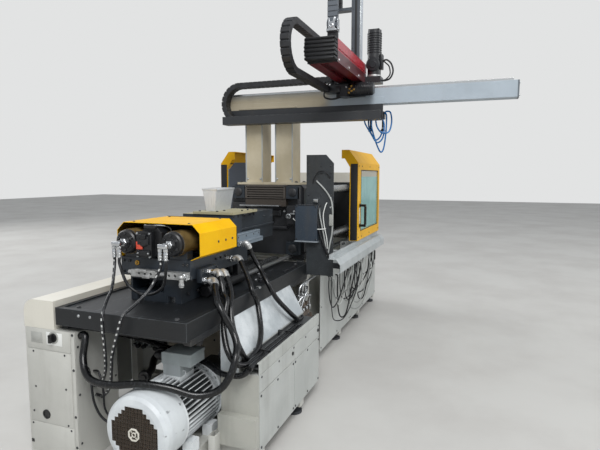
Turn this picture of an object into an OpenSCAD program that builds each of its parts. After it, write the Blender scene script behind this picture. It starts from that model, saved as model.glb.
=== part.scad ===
// Injection moulding machine with a beam robot that lifts the parts out.
// X runs along the machine from the injection end to the clamp end,
// Y points to the rear side of the machine and Z points up.
// All the sizes below are measured from the near edge of the table,
// the centre line of the shot and the floor.

/* [Table] */
// Length of the machined table under the injection unit
table_l = 1900; // [1880:5:1940]
// Width of the table
table_w = 862; // [850:2:880]
// Height of the table's rim above the floor
table_top = 920; // [900:5:980]
// Depth of the table casting
table_t = 100; // [90:5:110]
// Width of the raised rim
rim_w = 30; // [20:2:40]
// Height of the raised rim
rim_h = 10; // [6:1:14]

/* [Bed] */
// Length from the table's near edge to the clamp end
bed_l = 4330; // [4310:5:4500]
// Width over the side panels of the injection end
bed_w = 1346; // [1330:2:1400]
// Width over the side panels of the clamp end
clamp_bed_w = 1000; // [960:10:1060]
// Length of the wide injection end on the operator side
wide_l = 1400; // [1300:10:1440]
// Height of the levelling feet
foot_h = 60; // [50:5:70]
// Diameter of a foot's pad
foot_d = 110; // [90:5:130]
// Width of the frame's box sections
beam_w = 44; // [36:2:44]
// Height of the base rails
rail_h = 120; // [100:5:140]
// Height of the cross members
cross_h = 70; // [60:5:80]
// Thickness of the sheet covers
sheet_t = 3; // [2:0.5:4]
// Height of the seam between the upper and lower side panels
seam_z = 440; // [400:5:480]
// Height of the cable ledge above the floor
ledge_z = 550; // [520:5:580]
// Height of the cable ledge's box
ledge_h = 70; // [50:5:90]
// Width of the cable ledge
ledge_w = 128; // [110:2:140]

/* [Cabinet] */
// Depth of the switch cabinet along the machine
cabinet_l = 330; // [280:5:330]
// Width of the switch cabinet
cabinet_w = 367; // [340:1:372]
// Gap from the cabinet's top to the underside of the table
cabinet_gap = 33; // [33:1:60]
// Height of the left cover above the cabinet
cover_h = 165; // [150:5:190]
// Radius of the left cover's outer edge
cover_r = 75; // [40:5:100]
// Diameter of the switch knob
knob_d = 50; // [40:2:60]

/* [Drive] */
// Distance of the motor's axis from the centre line
motor_y = -175; // [-180:1:-165]
// Height of the motor's axis above its feet
motor_h = 200; // [196:1:210]
// Front face of the fan cowl
motor_x = -105; // [-120:5:-80]
// Radius of the fan cowl
cowl_r = 200; // [190:1:202]
// Length of the fan cowl
cowl_l = 182; // [170:2:200]
// Length of the stator housing
stator_l = 363; // [340:1:380]
// Number of cooling ribs
rib_n = 44; // [24:4:60]
// Length of the bell housing
bell_l = 135; // [120:5:150]
// Length of the pump
pump_l = 240; // [200:5:260]

/* [Injection unit] */
// Height of the screw's axis above the table's rim
axis_h = 350; // [345:1:360]
// Near face of the carriage
carriage_x = 333; // [325:1:345]
// Length of the carriage
carriage_l = 727; // [700:1:760]
// Half width of the carriage's upper slab
slab_y = 244; // [240:1:250]
// Height of the carriage's slab
slab_h = 111; // [100:1:114]
// Half width of the carriage's pedestal
pedestal_y = 178; // [170:1:182]
// Sideways distance of each injection cylinder from the screw
cyl_y = 158; // [156:1:160]
// Outer diameter of an injection cylinder
cyl_d = 150; // [144:1:151]
// Bore of an injection cylinder
cyl_bore = 100; // [90:1:110]
// Length of an injection cylinder
cyl_l = 320; // [310:2:330]
// Diameter of a cylinder rod
rod_d = 60; // [50:1:70]
// Stroke of the injection
stroke = 160; // [140:5:165]
// Thickness of the crosshead
crosshead_t = 60; // [50:1:64]
// Diameter of the screw
screw_d = 42; // [36:1:46]
// Outer diameter of the barrel
barrel_d = 100; // [90:1:110]
// Length of the barrel with its nozzle
barrel_l = 770; // [740:5:780]
// Number of heater bands
band_n = 6; // [4:1:7]
// Distance of the carriage cylinders from the centre line
pull_y = 223; // [221:1:226]
// Length of the yellow cover
hood_l = 440; // [400:5:460]
// Half width of the yellow cover
hood_y = 291; // [286:1:296]
// Sideways offset of the yellow cover from the screw's axis
hood_shift = -16; // [-20:1:-10]
// Height of the yellow cover's top above the table's rim
hood_h = 461; // [455:1:480]
// Chamfer of the yellow cover
hood_c = 50; // [30:1:60]

/* [Clamp unit] */
// Gap from the table's end to the fixed platen
platen_gap = 60; // [50:1:70]
// Thickness of the fixed platen
platen_t = 160; // [150:1:170]
// Width of the platens
platen_w = 700; // [680:2:720]
// Height of the platens
platen_h = 620; // [600:2:620]
// Sideways distance of the tie bars from the screw's axis
tie_y = 262; // [256:1:266]
// Distance of the tie bars above and below the screw's axis
tie_z = 245; // [240:1:248]
// Diameter of the tie bars
tie_d = 80; // [70:1:84]
// Opening between the platens as they stand
daylight = 580; // [560:5:600]
// Thickness of the moving platen
moving_t = 140; // [130:1:150]
// Length of the machine from the end platen's front face
end_l = 630; // [620:5:640]
// Outer diameter of the clamp cylinder
clamp_d = 420; // [400:5:440]
// Diameter of the clamp ram
ram_d = 250; // [230:1:260]

/* [Gates] */
// Near end of the gates as they stand
gate_x = 2400; // [2380:5:2420]
// Length of a gate
gate_l = 1000; // [950:5:1020]
// Distance of a gate's face from the centre line
gate_y = 720; // [716:1:730]
// Underside of a gate above the table's rim
gate_z = 130; // [126:1:140]
// Height of a gate
gate_h = 850; // [800:5:880]
// Depth of a gate's frame
gate_d = 80; // [60:1:84]
// Near end of the side channels
channel_x = 1570; // [1550:5:1600]
// Length of the side channels
channel_l = 1790; // [1760:5:1820]

/* [Robot] */
// Height of the robot's columns
column_h = 645; // [600:5:700]
// Width of a column
column_w = 170; // [150:2:190]
// Depth of a column
column_d = 190; // [170:2:195]
// Gap between the columns
column_gap = 120; // [100:2:140]
// Depth of the cross beam
beam_x = 120; // [110:1:122]
// Height of the cross beam
beam_z = 125; // [110:1:140]
// Reach of the cross beam in front of the centre line
reach = 2030; // [2000:10:2200]
// Rear end of the cross beam behind the centre line
beam_rear = 400; // [380:5:420]
// Distance of the traverse carriage from the centre line
robot_y = 755; // [750:1:770]
// Length of the kick arm
kick_l = 940; // [900:5:980]
// Width of the kick arm
kick_w = 210; // [200:2:220]
// Height of the kick arm
kick_h = 155; // [150:1:170]
// Height of the vertical arm's top above the floor
arm_top = 3400; // [3380:10:3600]
// Bend radius of the cross beam's energy chain
chain_r = 155; // [150:1:160]
// Bend radius of the kick arm's energy chain
loop_r = 163; // [155:1:170]

/* [Hoses] */
// Diameter of the thick power cable
cable_d = 40; // [34:1:42]
// Diameter of the carriage hoses
hose_d = 34; // [28:1:36]
// Diameter of the thin hoses at the cylinder caps
cap_hose_d = 22; // [18:1:24]

/* [Hidden] */
$fn = 48;

// Running clearance between pieces that slide on each other
run = 0.5;
// Clearance round a shaft or rod
fit = 0.3;

channel_y = gate_y + 70;
center_x = (motor_x + bed_l) / 2;
center_y = (channel_y - reach) / 2;

table_bottom = table_top - table_t;
table_z = table_top - rim_h;
beam_y = table_w / 2 - 1 - beam_w / 2;
rail_x = cabinet_l + 5;
cross_x = [rail_x + 5, 1000, 1800, 2600, 3400, bed_l - 120];
cross_w = 70;
cross_z = foot_h + cross_h;
panel_y = bed_w / 2 - sheet_t;
clamp_panel_y = clamp_bed_w / 2 - sheet_t;
clamp_panel_top = table_top - 30;
panel_z = 100;
way_y = 330;
way_w = 60;
way_h = 20;
way_z = table_top - way_h;
shelf_t = 8;

cabinet_top = table_bottom - cabinet_gap;
cabinet_y1 = bed_w / 2 - 6;
cabinet_y0 = cabinet_y1 - cabinet_w;
arm_h = cabinet_gap - 1;
door_y0 = cabinet_y0 + 28;
door_y1 = cabinet_y1 - 14;
switch_y = cabinet_y0 + 150;
switch_z = cabinet_top - 44;

motor_seat = foot_h + 80;
motor_z = motor_seat + motor_h;
motor_foot_y = 160;
stator_x = motor_x + cowl_l;
flange_x = stator_x + stator_l;
flange_t = 25;
bell_x = flange_x + flange_t;
pump_x = bell_x + bell_l;
stator_r = cowl_r - 36;
bore_r = 110;
shaft_r = 27;

axis_z = table_top + axis_h;
slide_y = 110;
slide_w = 50;
slide_h = 40;
slab_z0 = axis_z - 210;
slab_z1 = slab_z0 + slab_h;
carriage_x1 = carriage_x + carriage_l;
cyl_x = carriage_x - 33;
cyl_x1 = cyl_x + cyl_l;
plate_t = 40;
cross_head_x = cyl_x1 + plate_t + 40;
feed_l = 130;
feed_x = carriage_x1 - feed_l;
barrel_x = carriage_x1;
tip_x = barrel_x + barrel_l;
pull_z = axis_z - 320;
pull_d = 70;
pull_rod_d = 32;

platen_x = table_l + platen_gap;
platen_x1 = platen_x + platen_t;
platen_z0 = axis_z - platen_h / 2;
platen_z1 = axis_z + platen_h / 2;
moving_x = platen_x1 + daylight;
moving_x1 = moving_x + moving_t;
yoke_l = 140;
ram_x = moving_x1 + yoke_l;
end_t = 160;
end_x = bed_l - end_l;
end_x1 = end_x + end_t;
clamp_l = bed_l - 60 - end_x1;
nut_w = 120;
nut_h = 110;
nut_l = 60;
servo_h = 375;

gate_bottom = table_top + gate_z;
gate_top = gate_bottom + gate_h;
gate_t = 6;
gate_c = 120;
rail_top = gate_bottom - 4;

beam_bottom = platen_z1 + 20 + column_h;
beam_top = beam_bottom + beam_z;
column_x = platen_x + 30;
beam_x0 = column_x - 5;
beam_x1 = beam_x0 + beam_x;
kick_y0 = -robot_y - kick_w / 2;
kick_y1 = -robot_y + kick_w / 2;
kick_z = beam_top + 49 + run;
kick_z1 = kick_z + kick_h;
kick_x1 = beam_x1 - 45;
kick_x = kick_x1 - kick_l;
arm_x = beam_x1 + 20;
arm_s = 80;
arm_y = -robot_y - 35;
arm_bottom = beam_bottom - 105;
pivot_z = arm_bottom + 30;
chain_t = 44;
chain_w = 85;
chain_x = beam_x0 - 100;
tray_z = beam_bottom - 135;
chain_end_y = -robot_y + 155;

// Moves a piece from the machine's own measures to the part's origin
module machine() translate([-center_x, -center_y, 0]) children();

// Box between two corners
module box(x0, x1, y0, y1, z0, z1) translate([x0, y0, z0]) cube([x1 - x0, y1 - y0, z1 - z0]);

// Round bars along the three directions
module bar_x(x0, x1, y, z, d) translate([x0, y, z]) rotate([0, 90, 0]) cylinder(d = d, h = x1 - x0);
module bar_y(y0, y1, x, z, d) translate([x, y1, z]) rotate([90, 0, 0]) cylinder(d = d, h = y1 - y0);
module bar_z(z0, z1, x, y, d) translate([x, y, z0]) cylinder(d = d, h = z1 - z0);

// Profile drawn in Y and Z, run along X
module along_x(x0, x1) translate([x0, 0, 0]) rotate([90, 0, 90]) linear_extrude(x1 - x0) children();

// Profile drawn in X and Z, run along Y
module along_y(y0, y1) translate([0, y1, 0]) rotate([90, 0, 0]) linear_extrude(y1 - y0) children();

// A piece and its mirror image on the other side of the centre line
module both() {
    children();
    mirror([0, 1, 0]) children();
}

module rect(x0, x1, y0, y1) translate([x0, y0]) square([x1 - x0, y1 - y0]);

// Bed

module bed_frame() machine() color("gainsboro") {
    both() {
        box(rail_x, bed_l - 10, beam_y - beam_w / 2, beam_y + beam_w / 2, foot_h, foot_h + rail_h);
        box(40, table_l, beam_y - beam_w / 2, beam_y + beam_w / 2, table_bottom - arm_h, table_bottom);
        for (x = [pump_x + 20, cross_x[1], cross_x[2]])
            box(x, x + 60, beam_y - beam_w / 2, beam_y + beam_w / 2, foot_h, table_bottom);
        box(table_l, bed_l - 10, way_y - way_w / 2, way_y + way_w / 2, foot_h, way_z);
    }
    for (x = cross_x) {
        half = x < wide_l ? panel_y : clamp_panel_y;
        rear = x < table_l ? panel_y : clamp_panel_y;
        box(x, x + cross_w, -half, rear, foot_h, cross_z);
    }
    for (x = [60, cross_x[1]])
        box(x, x + 60, -beam_y, beam_y, table_bottom - arm_h, table_bottom);
    box(cross_x[1], cross_x[1] + 10, -beam_y, beam_y, cross_z, table_bottom);
    for (s = [-1, 1])
        box(60, cross_x[1], motor_y + s * motor_foot_y - 30, motor_y + s * motor_foot_y + 30,
            foot_h, motor_seat);
    box(wide_l, table_l + 60, -clamp_panel_y, -beam_y, cross_z, cross_z + shelf_t);
    box(table_l, platen_x1 + 20, -way_y, way_y, table_bottom, way_z);
    box(end_x - 20, bed_l - 10, -way_y, way_y, table_bottom, way_z);
}

module levelling_foot(x, y) {
    bar_z(0, 18, x, y, foot_d);
    bar_z(18, foot_h, x, y, 28);
    translate([x, y, foot_h - 22]) cylinder(d = 50, h = 14, $fn = 6);
}

module levelling_feet() machine() color("dimgray") {
    for (s = [-1, 1]) levelling_foot(110, motor_y + s * motor_foot_y);
    for (x = cross_x) for (s = [-1, 1])
        levelling_foot(x + cross_w / 2 + 12, s * (x < wide_l ? bed_w / 2 - 65 : clamp_bed_w / 2 - 65));
}

module oil_tank() machine() color("gainsboro")
    along_y(-panel_y, -table_w / 2) {
        rect(rail_x, wide_l, cross_z, ledge_z);
        rect(rail_x - 45, wide_l, cross_z, cross_z + 180);
    }

module machine_table() machine() color("#26282b") difference() {
    box(0, table_l, -table_w / 2, table_w / 2, table_bottom, table_top);
    box(rim_w, table_l + 1, -table_w / 2 + rim_w, table_w / 2 - rim_w, table_z, table_top + 1);
    for (i = [0:4]) both()
        box(60 + i * 365, 60 + i * 365 + 330, 30, beam_y - beam_w / 2 - 5, table_bottom - 1,
            table_bottom + table_t * 0.55);
}

// Outline of the left cover, drawn in by an inset
module cover_outline(i) {
    y0 = table_w / 2 + 15;
    y1 = bed_w / 2;
    z0 = cabinet_top;
    z1 = cabinet_top + cover_h;
    rect(y0 + i, y1 - cover_r, z0 - i, z1 - i);
    rect(y0 + i, y1 - i, z0 - i, z1 - cover_r);
    translate([y1 - cover_r, z1 - cover_r]) circle(r = cover_r - i);
}

module left_cover() machine() color("ivory") {
    difference() {
        along_x(0, table_l) cover_outline(0);
        along_x(sheet_t, table_l - sheet_t) cover_outline(sheet_t);
    }
}

module sloped_cover() machine() color("white") {
    y0 = -table_w / 2;
    y1 = -bed_w / 2 + ledge_w;
    z0 = ledge_z;
    z1 = table_bottom - 1;
    difference() {
        along_x(rail_x, wide_l)
            polygon([[y0, z0], [y0, z1], [y0 - 4, z1], [y1, z0 + ledge_h + 2], [y1, z0]]);
        along_x(rail_x + sheet_t, wide_l + 1)
            polygon([[y0 - sheet_t, z0 - 1], [y0 - sheet_t, z1 - 5], [y1 + sheet_t, z0 + ledge_h],
                [y1 + sheet_t, z0 - 1]]);
    }
}

module cable_ledge() machine() color("lightgray") along_x(rail_x, wide_l) {
    y0 = -bed_w / 2;
    y1 = y0 + ledge_w;
    floor_z = ledge_z + ledge_h - 30;
    difference() {
        rect(y0, y1, ledge_z, ledge_z + ledge_h);
        rect(y0 + sheet_t, y1 - sheet_t, ledge_z + sheet_t, floor_z - sheet_t);
        rect(y0 + sheet_t, y1 - sheet_t, floor_z, ledge_z + ledge_h + 1);
    }
    rect(y0, y0 + 14, ledge_z + ledge_h - sheet_t, ledge_z + ledge_h);
}

module side_panels() machine() color("whitesmoke") {
    split = 880;
    for (span = [[rail_x + 5, split], [split + 4, wide_l - 3]]) {
        box(span[0], span[1], -bed_w / 2, -panel_y, panel_z, seam_z);
        box(span[0], span[1], -bed_w / 2, -panel_y, seam_z + 4, ledge_z - 2);
    }
    for (span = [[rail_x + 2, 900], [904, 1398], [1402, table_l]])
        box(span[0], span[1], panel_y, bed_w / 2, panel_z, cabinet_top);
    for (span = [[table_l + 60, 3000], [3004, bed_l - 5]]) both()
        box(span[0], span[1], clamp_panel_y, clamp_bed_w / 2, panel_z, clamp_panel_top);
    box(bed_l - 10, bed_l - 5, -clamp_panel_y, clamp_panel_y, panel_z, clamp_panel_top);
}

module switch_cabinet() machine() color("gainsboro") {
    difference() {
        box(0, cabinet_l, cabinet_y0, cabinet_y1, 0, cabinet_top);
        box(sheet_t, cabinet_l - sheet_t, cabinet_y0 + sheet_t, cabinet_y1 - sheet_t, 90,
            cabinet_top - sheet_t);
        bar_x(-1, 10, cabinet_y0 + 232, cabinet_top - 512, 42);
        box(-1, 2, cabinet_y0 - 1, door_y0, 40, cabinet_top + 1);
        box(-1, 1, door_y0 + 2, door_y1, cabinet_top - 124, cabinet_top - 120);
        box(-1, 10, door_y1 - 40, door_y1 - 10, cabinet_top - 710, cabinet_top - 690);
    }
    box(-sheet_t, 0, switch_y - 42, switch_y + 42, switch_z - 40, switch_z + 40);
}

module main_switch() machine() color("black") {
    bar_x(-14, -sheet_t, switch_y, switch_z, knob_d);
    box(-36, -14, switch_y - 8, switch_y + 8, switch_z - knob_d / 2 + 2, switch_z + knob_d / 2 - 2);
}

// Folded channel that carries a gate's rail
module channel_profile() {
    t = 4;
    y = channel_y;
    z = gate_bottom - 38;
    polygon([[y - 100, z], [y - 36, z], [y, z - 44], [y, z - 108], [y - 24, z - 112],
        [y - 24, z - 108], [y - t, z - 105], [y - t, z - 46], [y - 38, z - t], [y - 100, z - t]]);
    rect(y - 92, y - 78, z, rail_top);
}

module side_channels() machine() color("lightgray") both() {
    along_x(channel_x, channel_x + channel_l) channel_profile();
    for (x = [platen_x + 60, gate_x + 200, channel_x + channel_l - 120])
        box(x, x + 60, clamp_bed_w / 2, channel_y - 75, clamp_panel_top - 40, gate_bottom - 42);
}

// Clamp unit

module clamp_ways() machine() color("slategray") both()
    box(table_l, bed_l - 10, way_y - way_w / 2, way_y + way_w / 2, way_z, table_top);

module platen_blank(x0, x1) {
    c = 30;
    along_x(x0, x1) polygon([
        for (p = [[-1, -1], [1, -1], [1, 1], [-1, 1]])
            for (k = (p[0] * p[1] > 0 ? [0, 1] : [1, 0]))
                [p[0] * (platen_w / 2 - c * k), axis_z + p[1] * (platen_h / 2 - c * (1 - k))]]);
}

module tie_places() for (y = [-1, 1]) for (z = [-1, 1])
    translate([0, y * tie_y, axis_z + z * tie_z]) children();

module platen_foot(x0, x1, gap) both()
    box(x0, x1, way_y - 50, way_y + 20, table_top + gap, platen_z0 + 12);

module fixed_platen() machine() color("#3b4650") {
    difference() {
        union() {
            platen_blank(platen_x, platen_x1);
            platen_foot(platen_x, platen_x1, 0);
            box(table_l, platen_x, -195, 195, platen_z1 - 120, platen_z1 - 4);
            box(table_l + 10, platen_x, -196, 196, platen_z1 - 190, platen_z1 - 125);
            box(table_l - 15, platen_x, -300, -215, axis_z - 30, axis_z + 130);
        }
        for (i = [0:4])
            box(table_l - 1, table_l + 22, -175, 175, platen_z1 - 112 + i * 21, platen_z1 - 102 + i * 21);
        bar_x(platen_x - 70, platen_x1 - 19, 0, axis_z, 150);
        bar_x(platen_x1 - 20, platen_x1 + 1, 0, axis_z, 125);
        for (y = [-175, 175]) for (z = [-105, 105])
            bar_x(platen_x1 - 40, platen_x1 + 1, y, axis_z + z, 16);
        tie_places() translate([platen_x - 1, 0, 0]) rotate([0, 90, 0])
            cylinder(d = tie_d + 2 * fit, h = platen_t + 2);
    }
    both() {
        bar_x(carriage_x + 587, platen_x + 20, pull_y, pull_z, pull_rod_d);
        bar_x(carriage_x + 567, carriage_x + 587, pull_y, pull_z, 49);
        box(platen_x, platen_x + 60, pull_y - 30, way_y - 50, pull_z - 29, platen_z0 + 20);
    }
}

module tie_bars() machine() color("silver") tie_places()
    translate([platen_x - nut_l + 15, 0, 0]) rotate([0, 90, 0])
        cylinder(d = tie_d, h = end_x1 + nut_l + 10 - platen_x + nut_l - 15);

module tie_bar_nuts() machine() color("#2e3338") tie_places() for (x = [platen_x - nut_l, end_x1])
    difference() {
        translate([x, -nut_w / 2, -nut_h / 2]) cube([nut_l, nut_w, nut_h]);
        translate([x < end_x ? x + 15 - fit : x - 1, 0, 0]) rotate([0, 90, 0])
            cylinder(d = tie_d + 2 * fit, h = nut_l + 2);
    }

module moving_platen() machine() color("#3b4650") {
    difference() {
        union() {
            platen_blank(moving_x, moving_x1);
            platen_foot(moving_x, moving_x1 + 40, run);
        }
        bar_x(moving_x - 1, moving_x + 20, 0, axis_z, 125);
        for (y = [-90, 90]) bar_x(moving_x - 1, moving_x1 + 1, y, axis_z, 31);
        for (y = [-175, 175]) for (z = [-105, 105]) bar_x(moving_x - 1, moving_x + 40, y, axis_z + z, 16);
        tie_places() translate([moving_x - 1, 0, 0]) rotate([0, 90, 0])
            cylinder(d = tie_d + 2 * run, h = moving_t + 2);
    }
    for (s = [-1, 1]) box(moving_x1, ram_x, -150, 150, axis_z + s * 130 - 30, axis_z + s * 130 + 30);
    box(ram_x - 30, ram_x, -150, 150, axis_z - 160, axis_z + 160);
    bar_x(ram_x, end_x + 360, 0, axis_z, ram_d);
}

module ejector() machine() color("silver") {
    box(moving_x1 + 65, moving_x1 + 90, -120, 120, axis_z - 30, axis_z + 30);
    for (y = [-90, 90]) bar_x(moving_x + 2, moving_x1 + 65, y, axis_z, 30);
}

module end_platen() machine() color("#3b4650") difference() {
    union() {
        platen_blank(end_x, end_x1);
        platen_foot(end_x, end_x1, 0);
        bar_x(end_x1, end_x1 + clamp_l, 0, axis_z, clamp_d);
        bar_x(end_x1, end_x1 + 40, 0, axis_z, clamp_d + 60);
    }
    bar_x(end_x - 1, end_x1 + clamp_l - 30, 0, axis_z, ram_d + 2 * fit);
    tie_places() translate([end_x - 1, 0, 0]) rotate([0, 90, 0])
        cylinder(d = tie_d + 2 * fit, h = end_t + 2);
}

module clamp_housing() machine() color("ivory") difference() {
    x0 = end_x1 + nut_l + 20;
    box(x0, bed_l, -clamp_bed_w / 2, clamp_bed_w / 2, clamp_panel_top, platen_z1 + 120);
    box(x0 + sheet_t, bed_l - sheet_t, -clamp_panel_y, clamp_panel_y, clamp_panel_top - 1,
        platen_z1 + 120 - sheet_t);
    bar_x(x0 - 1, x0 + 5, 0, axis_z, clamp_d + 10);
    box(x0 - 1, x0 + 5, -way_y - 40, way_y + 40, clamp_panel_top - 1, table_top + 1);
    for (i = [0:7]) for (x = [x0 + 90, x0 + 240])
        box(x, x + 100, -clamp_bed_w / 2 - 1, clamp_bed_w / 2 + 1, axis_z + i * 26, axis_z + i * 26 + 8);
}

module guard_plates() machine() color("#3a3d42") {
    x = table_l - 113;
    top = gate_top - 70;
    along_x(x, x + 5) polygon([[-table_w / 2, table_bottom + 10], [-table_w / 2, top], [-600, top],
        [-666, top - 70], [-666, table_bottom + 10]]);
    box(x - 47, x, -540, -350, axis_z - 150, axis_z + 150);
    box(x - 57, x, -546, -344, axis_z - 158, axis_z - 150);
    box(x, x + 5, -table_w / 2, -350, axis_z - 150, axis_z + 150);
    rear_top = gate_top - 110;
    along_x(gate_x - 7, gate_x - 3) polygon([[way_y + way_w / 2, clamp_panel_top], [437, rear_top],
        [560, rear_top], [gate_y - gate_d - 16, rear_top - 70],
        [gate_y - gate_d - 16, clamp_panel_top]]);
}

// Outline of a gate, from its lower edge over the chamfer to its roof, drawn in by an inset
function gate_outline(i) = [[gate_y - i, gate_bottom], [gate_y - i, gate_top - gate_c - i * 0.5],
    [gate_y - 90 - i * 0.5, gate_top - i], [gate_y - 160, gate_top - i]];

module gate_band(i) polygon(concat(gate_outline(0), [for (k = [3:-1:0]) gate_outline(i)[k]]));

module gate() difference() {
    union() {
        along_x(gate_x, gate_x + gate_l) gate_band(gate_t);
        for (x = [gate_x, gate_x + gate_l - gate_t]) along_x(x, x + gate_t) gate_band(gate_d);
        box(gate_x, gate_x + gate_l, gate_y - 40, gate_y, gate_bottom, gate_bottom + gate_t);
        for (x = [gate_x + 50, gate_x + gate_l - 110])
            box(x, x + 60, gate_y - 26, gate_y - 4, rail_top + fit, gate_bottom);
    }
    box(gate_x + 120, gate_x + gate_l - 90, gate_y - gate_t - 1, gate_y + 1, gate_bottom + 90,
        gate_top - gate_c - 70);
}

module gate_pane() box(gate_x + 100, gate_x + gate_l - 70, gate_y - gate_t - 5, gate_y - gate_t,
    gate_bottom + 70, gate_top - gate_c - 50);

module gate_handle() {
    x = gate_x + 62;
    z = gate_bottom + 130;
    for (k = [0, 190]) box(x, x + 30, gate_y, gate_y + 60, z + k, z + k + 22);
    box(x, x + 30, gate_y + 46, gate_y + 64, z + 22, z + 190);
}

module front_gate() machine() color("gold") mirror([0, 1, 0]) {
    gate();
    gate_handle();
}

module front_window() machine() color("lightcyan") mirror([0, 1, 0]) gate_pane();

module rear_gate() machine() color("gold") {
    gate();
    gate_handle();
}

module rear_window() machine() color("lightcyan") gate_pane();

module valve_block() machine() color("#6b5446") {
    z = cross_z + shelf_t;
    x = wide_l + 80;
    box(x, x + 230, -beam_y - 60 - 20, -beam_y - beam_w / 2 - 3, z, z + 420);
    for (k = [0:2]) {
        box(x + 15 + k * 72, x + 60 + k * 72, -beam_y - 80, -beam_y - 36, z + 420, z + 500);
        bar_z(z + 500, z + 560, x + 38 + k * 72, -beam_y - 58, 40);
    }
    bar_z(z, z + 330, x + 290, -beam_y - 62, 70);
    bar_z(z + 330, z + 370, x + 290, -beam_y - 62, 34);
}

// Injection unit

module slide_rails() machine() color("silver") both()
    box(carriage_x + 30, table_l - 20, slide_y - slide_w / 2, slide_y + slide_w / 2, table_z,
        table_z + slide_h);

module carriage_base() machine() color("#3b4754") {
    z0 = table_z + run;
    difference() {
        union() {
            box(carriage_x, cyl_x1 + 80, -pedestal_y, pedestal_y, z0, slab_z0);
            box(feed_x - 30, carriage_x1, -pedestal_y, pedestal_y, z0, slab_z0);
            box(carriage_x, carriage_x1, -slab_y, slab_y, slab_z0, slab_z1);
        }
        both() box(carriage_x - 1, carriage_x1 + 1, slide_y - slide_w / 2 - run,
            slide_y + slide_w / 2 + run, z0 - 1, table_z + slide_h + run);
        box(carriage_x - 1, carriage_x + 160, -60, 165, z0 + 60, slab_z0 - 15);
    }
    for (x = [cyl_x + 40, cyl_x1 - 60]) both() difference() {
        box(x, x + 60, cyl_y - 60, cyl_y + 60, slab_z1, axis_z - 48);
        bar_x(x - 1, x + 61, cyl_y, axis_z, cyl_d + 2 * fit);
    }
    difference() {
        box(cyl_x1, cyl_x1 + plate_t, -slab_y + 4, slab_y - 4, slab_z1, axis_z + 82);
        bar_x(cyl_x1 - 1, cyl_x1 + plate_t + 1, 0, axis_z, 146);
        both() bar_x(cyl_x1 - 1, cyl_x1 + plate_t + 1, cyl_y, axis_z, rod_d + 2 * fit);
    }
}

module carriage_cylinders() machine() color("#2b2d30") both() {
    difference() {
        union() {
            bar_x(carriage_x + 187, carriage_x + 667, pull_y, pull_z, pull_d);
            for (x = [carriage_x + 210, carriage_x + 580])
                box(x, x + 50, pull_y - 20, pull_y + 20, pull_z, slab_z0);
        }
        bar_x(carriage_x + 207, carriage_x + 647, pull_y, pull_z, 50);
        bar_x(carriage_x + 640, carriage_x + 670, pull_y, pull_z, pull_rod_d + 2 * fit);
    }
}

module injection_cylinders() machine() color("#8a7350") both() difference() {
    union() {
        bar_x(cyl_x, cyl_x1, cyl_y, axis_z, cyl_d);
    }
    bar_x(cyl_x + 20, cyl_x1 + 1, cyl_y, axis_z, cyl_bore);
}

module cylinder_caps() machine() color("black") both()
    translate([cyl_x, cyl_y, axis_z]) rotate([0, -90, 0]) rotate_extrude()
        polygon([[0, 0], [70, 0], [70, 22], [62, 30], [36, 30], [36, 38], [0, 38]]);

module port_elbows() machine() color("silver") {
    face = cyl_x - 38;
    leg = face - 65;
    both() {
        translate([face - 16, cyl_y, axis_z]) rotate([0, 90, 0]) cylinder(d = 50, h = 16, $fn = 6);
        bar_x(leg, face - 16, cyl_y, axis_z, 32);
        box(leg - 16, leg + 16, cyl_y - 30, cyl_y + 30, axis_z - 15, axis_z + 15);
        for (s = [-1, 1]) bar_z(axis_z - 80, axis_z - 15, leg, cyl_y + s * 18, 24);
    }
    box(carriage_x + 60, carriage_x + 240, -slab_y - 36, -slab_y, slab_z0 - 30, slab_z0 + 55);
    for (p = side_ports) {
        bar_y(-slab_y - 74, -slab_y - 36, p[0], p[1], 30);
        bar_y(-slab_y - 52, -slab_y - 36, p[0], p[1], 42);
    }
    bar_y(-slab_y - 24, -slab_y, 812, 1110, 34);
    bar_y(-slab_y - 30, -slab_y - 8, feed_x + 15, 1192, 34);
}

module injection_rods() machine() color("silver") both() {
    bar_x(cyl_x + 45, cyl_x + 75, cyl_y, axis_z, cyl_bore - 2 * fit);
    bar_x(cyl_x + 75, cross_head_x, cyl_y, axis_z, rod_d);
}

module crosshead() machine() color("#2f353c") difference() {
    box(cross_head_x, cross_head_x + crosshead_t, -slab_y + 9, slab_y - 9, slab_z1 + run, axis_z + 105);
    bar_x(cross_head_x - 1, cross_head_x + crosshead_t + 1, 0, axis_z, 60.6);
    both() box(cross_head_x - 1, cross_head_x + crosshead_t + 1, slab_y - 60, slab_y, axis_z + 60,
        axis_z + 110);
}

module screw_motor() machine() color("#1d1e20") {
    x = cyl_x - 32;
    along_x(x + 40, x + 130) polygon([[-70, axis_z - 60], [-50, axis_z - 80], [50, axis_z - 80],
        [70, axis_z - 60], [70, axis_z + 60], [40, axis_z + 88], [-40, axis_z + 88], [-70, axis_z + 60]]);
    box(x, x + 40, -28, 76, axis_z - 85, axis_z + 66);
    box(x - 10, x, -12, 62, axis_z - 8, axis_z + 38);
    bar_x(x + 130, cross_head_x, 0, axis_z, 138);
    bar_x(x + 150, x + 190, 0, axis_z, 143);
}

module screw() machine() color("silver") {
    turn = 8;
    x = feed_x + 20;
    flight = 600;
    bar_x(cross_head_x + fit, cross_head_x + crosshead_t, 0, axis_z, 60);
    bar_x(cross_head_x + crosshead_t, x, 0, axis_z, screw_d - 8);
    translate([x, 0, axis_z]) rotate([0, 90, 0])
        linear_extrude(height = flight, twist = 360 * turn, slices = turn * 8, $fn = 10)
            translate([4, 0]) circle(d = screw_d - 9, $fn = 10);
    bar_x(x + flight, x + flight + 40, 0, axis_z, screw_d - 2);
}

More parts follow.
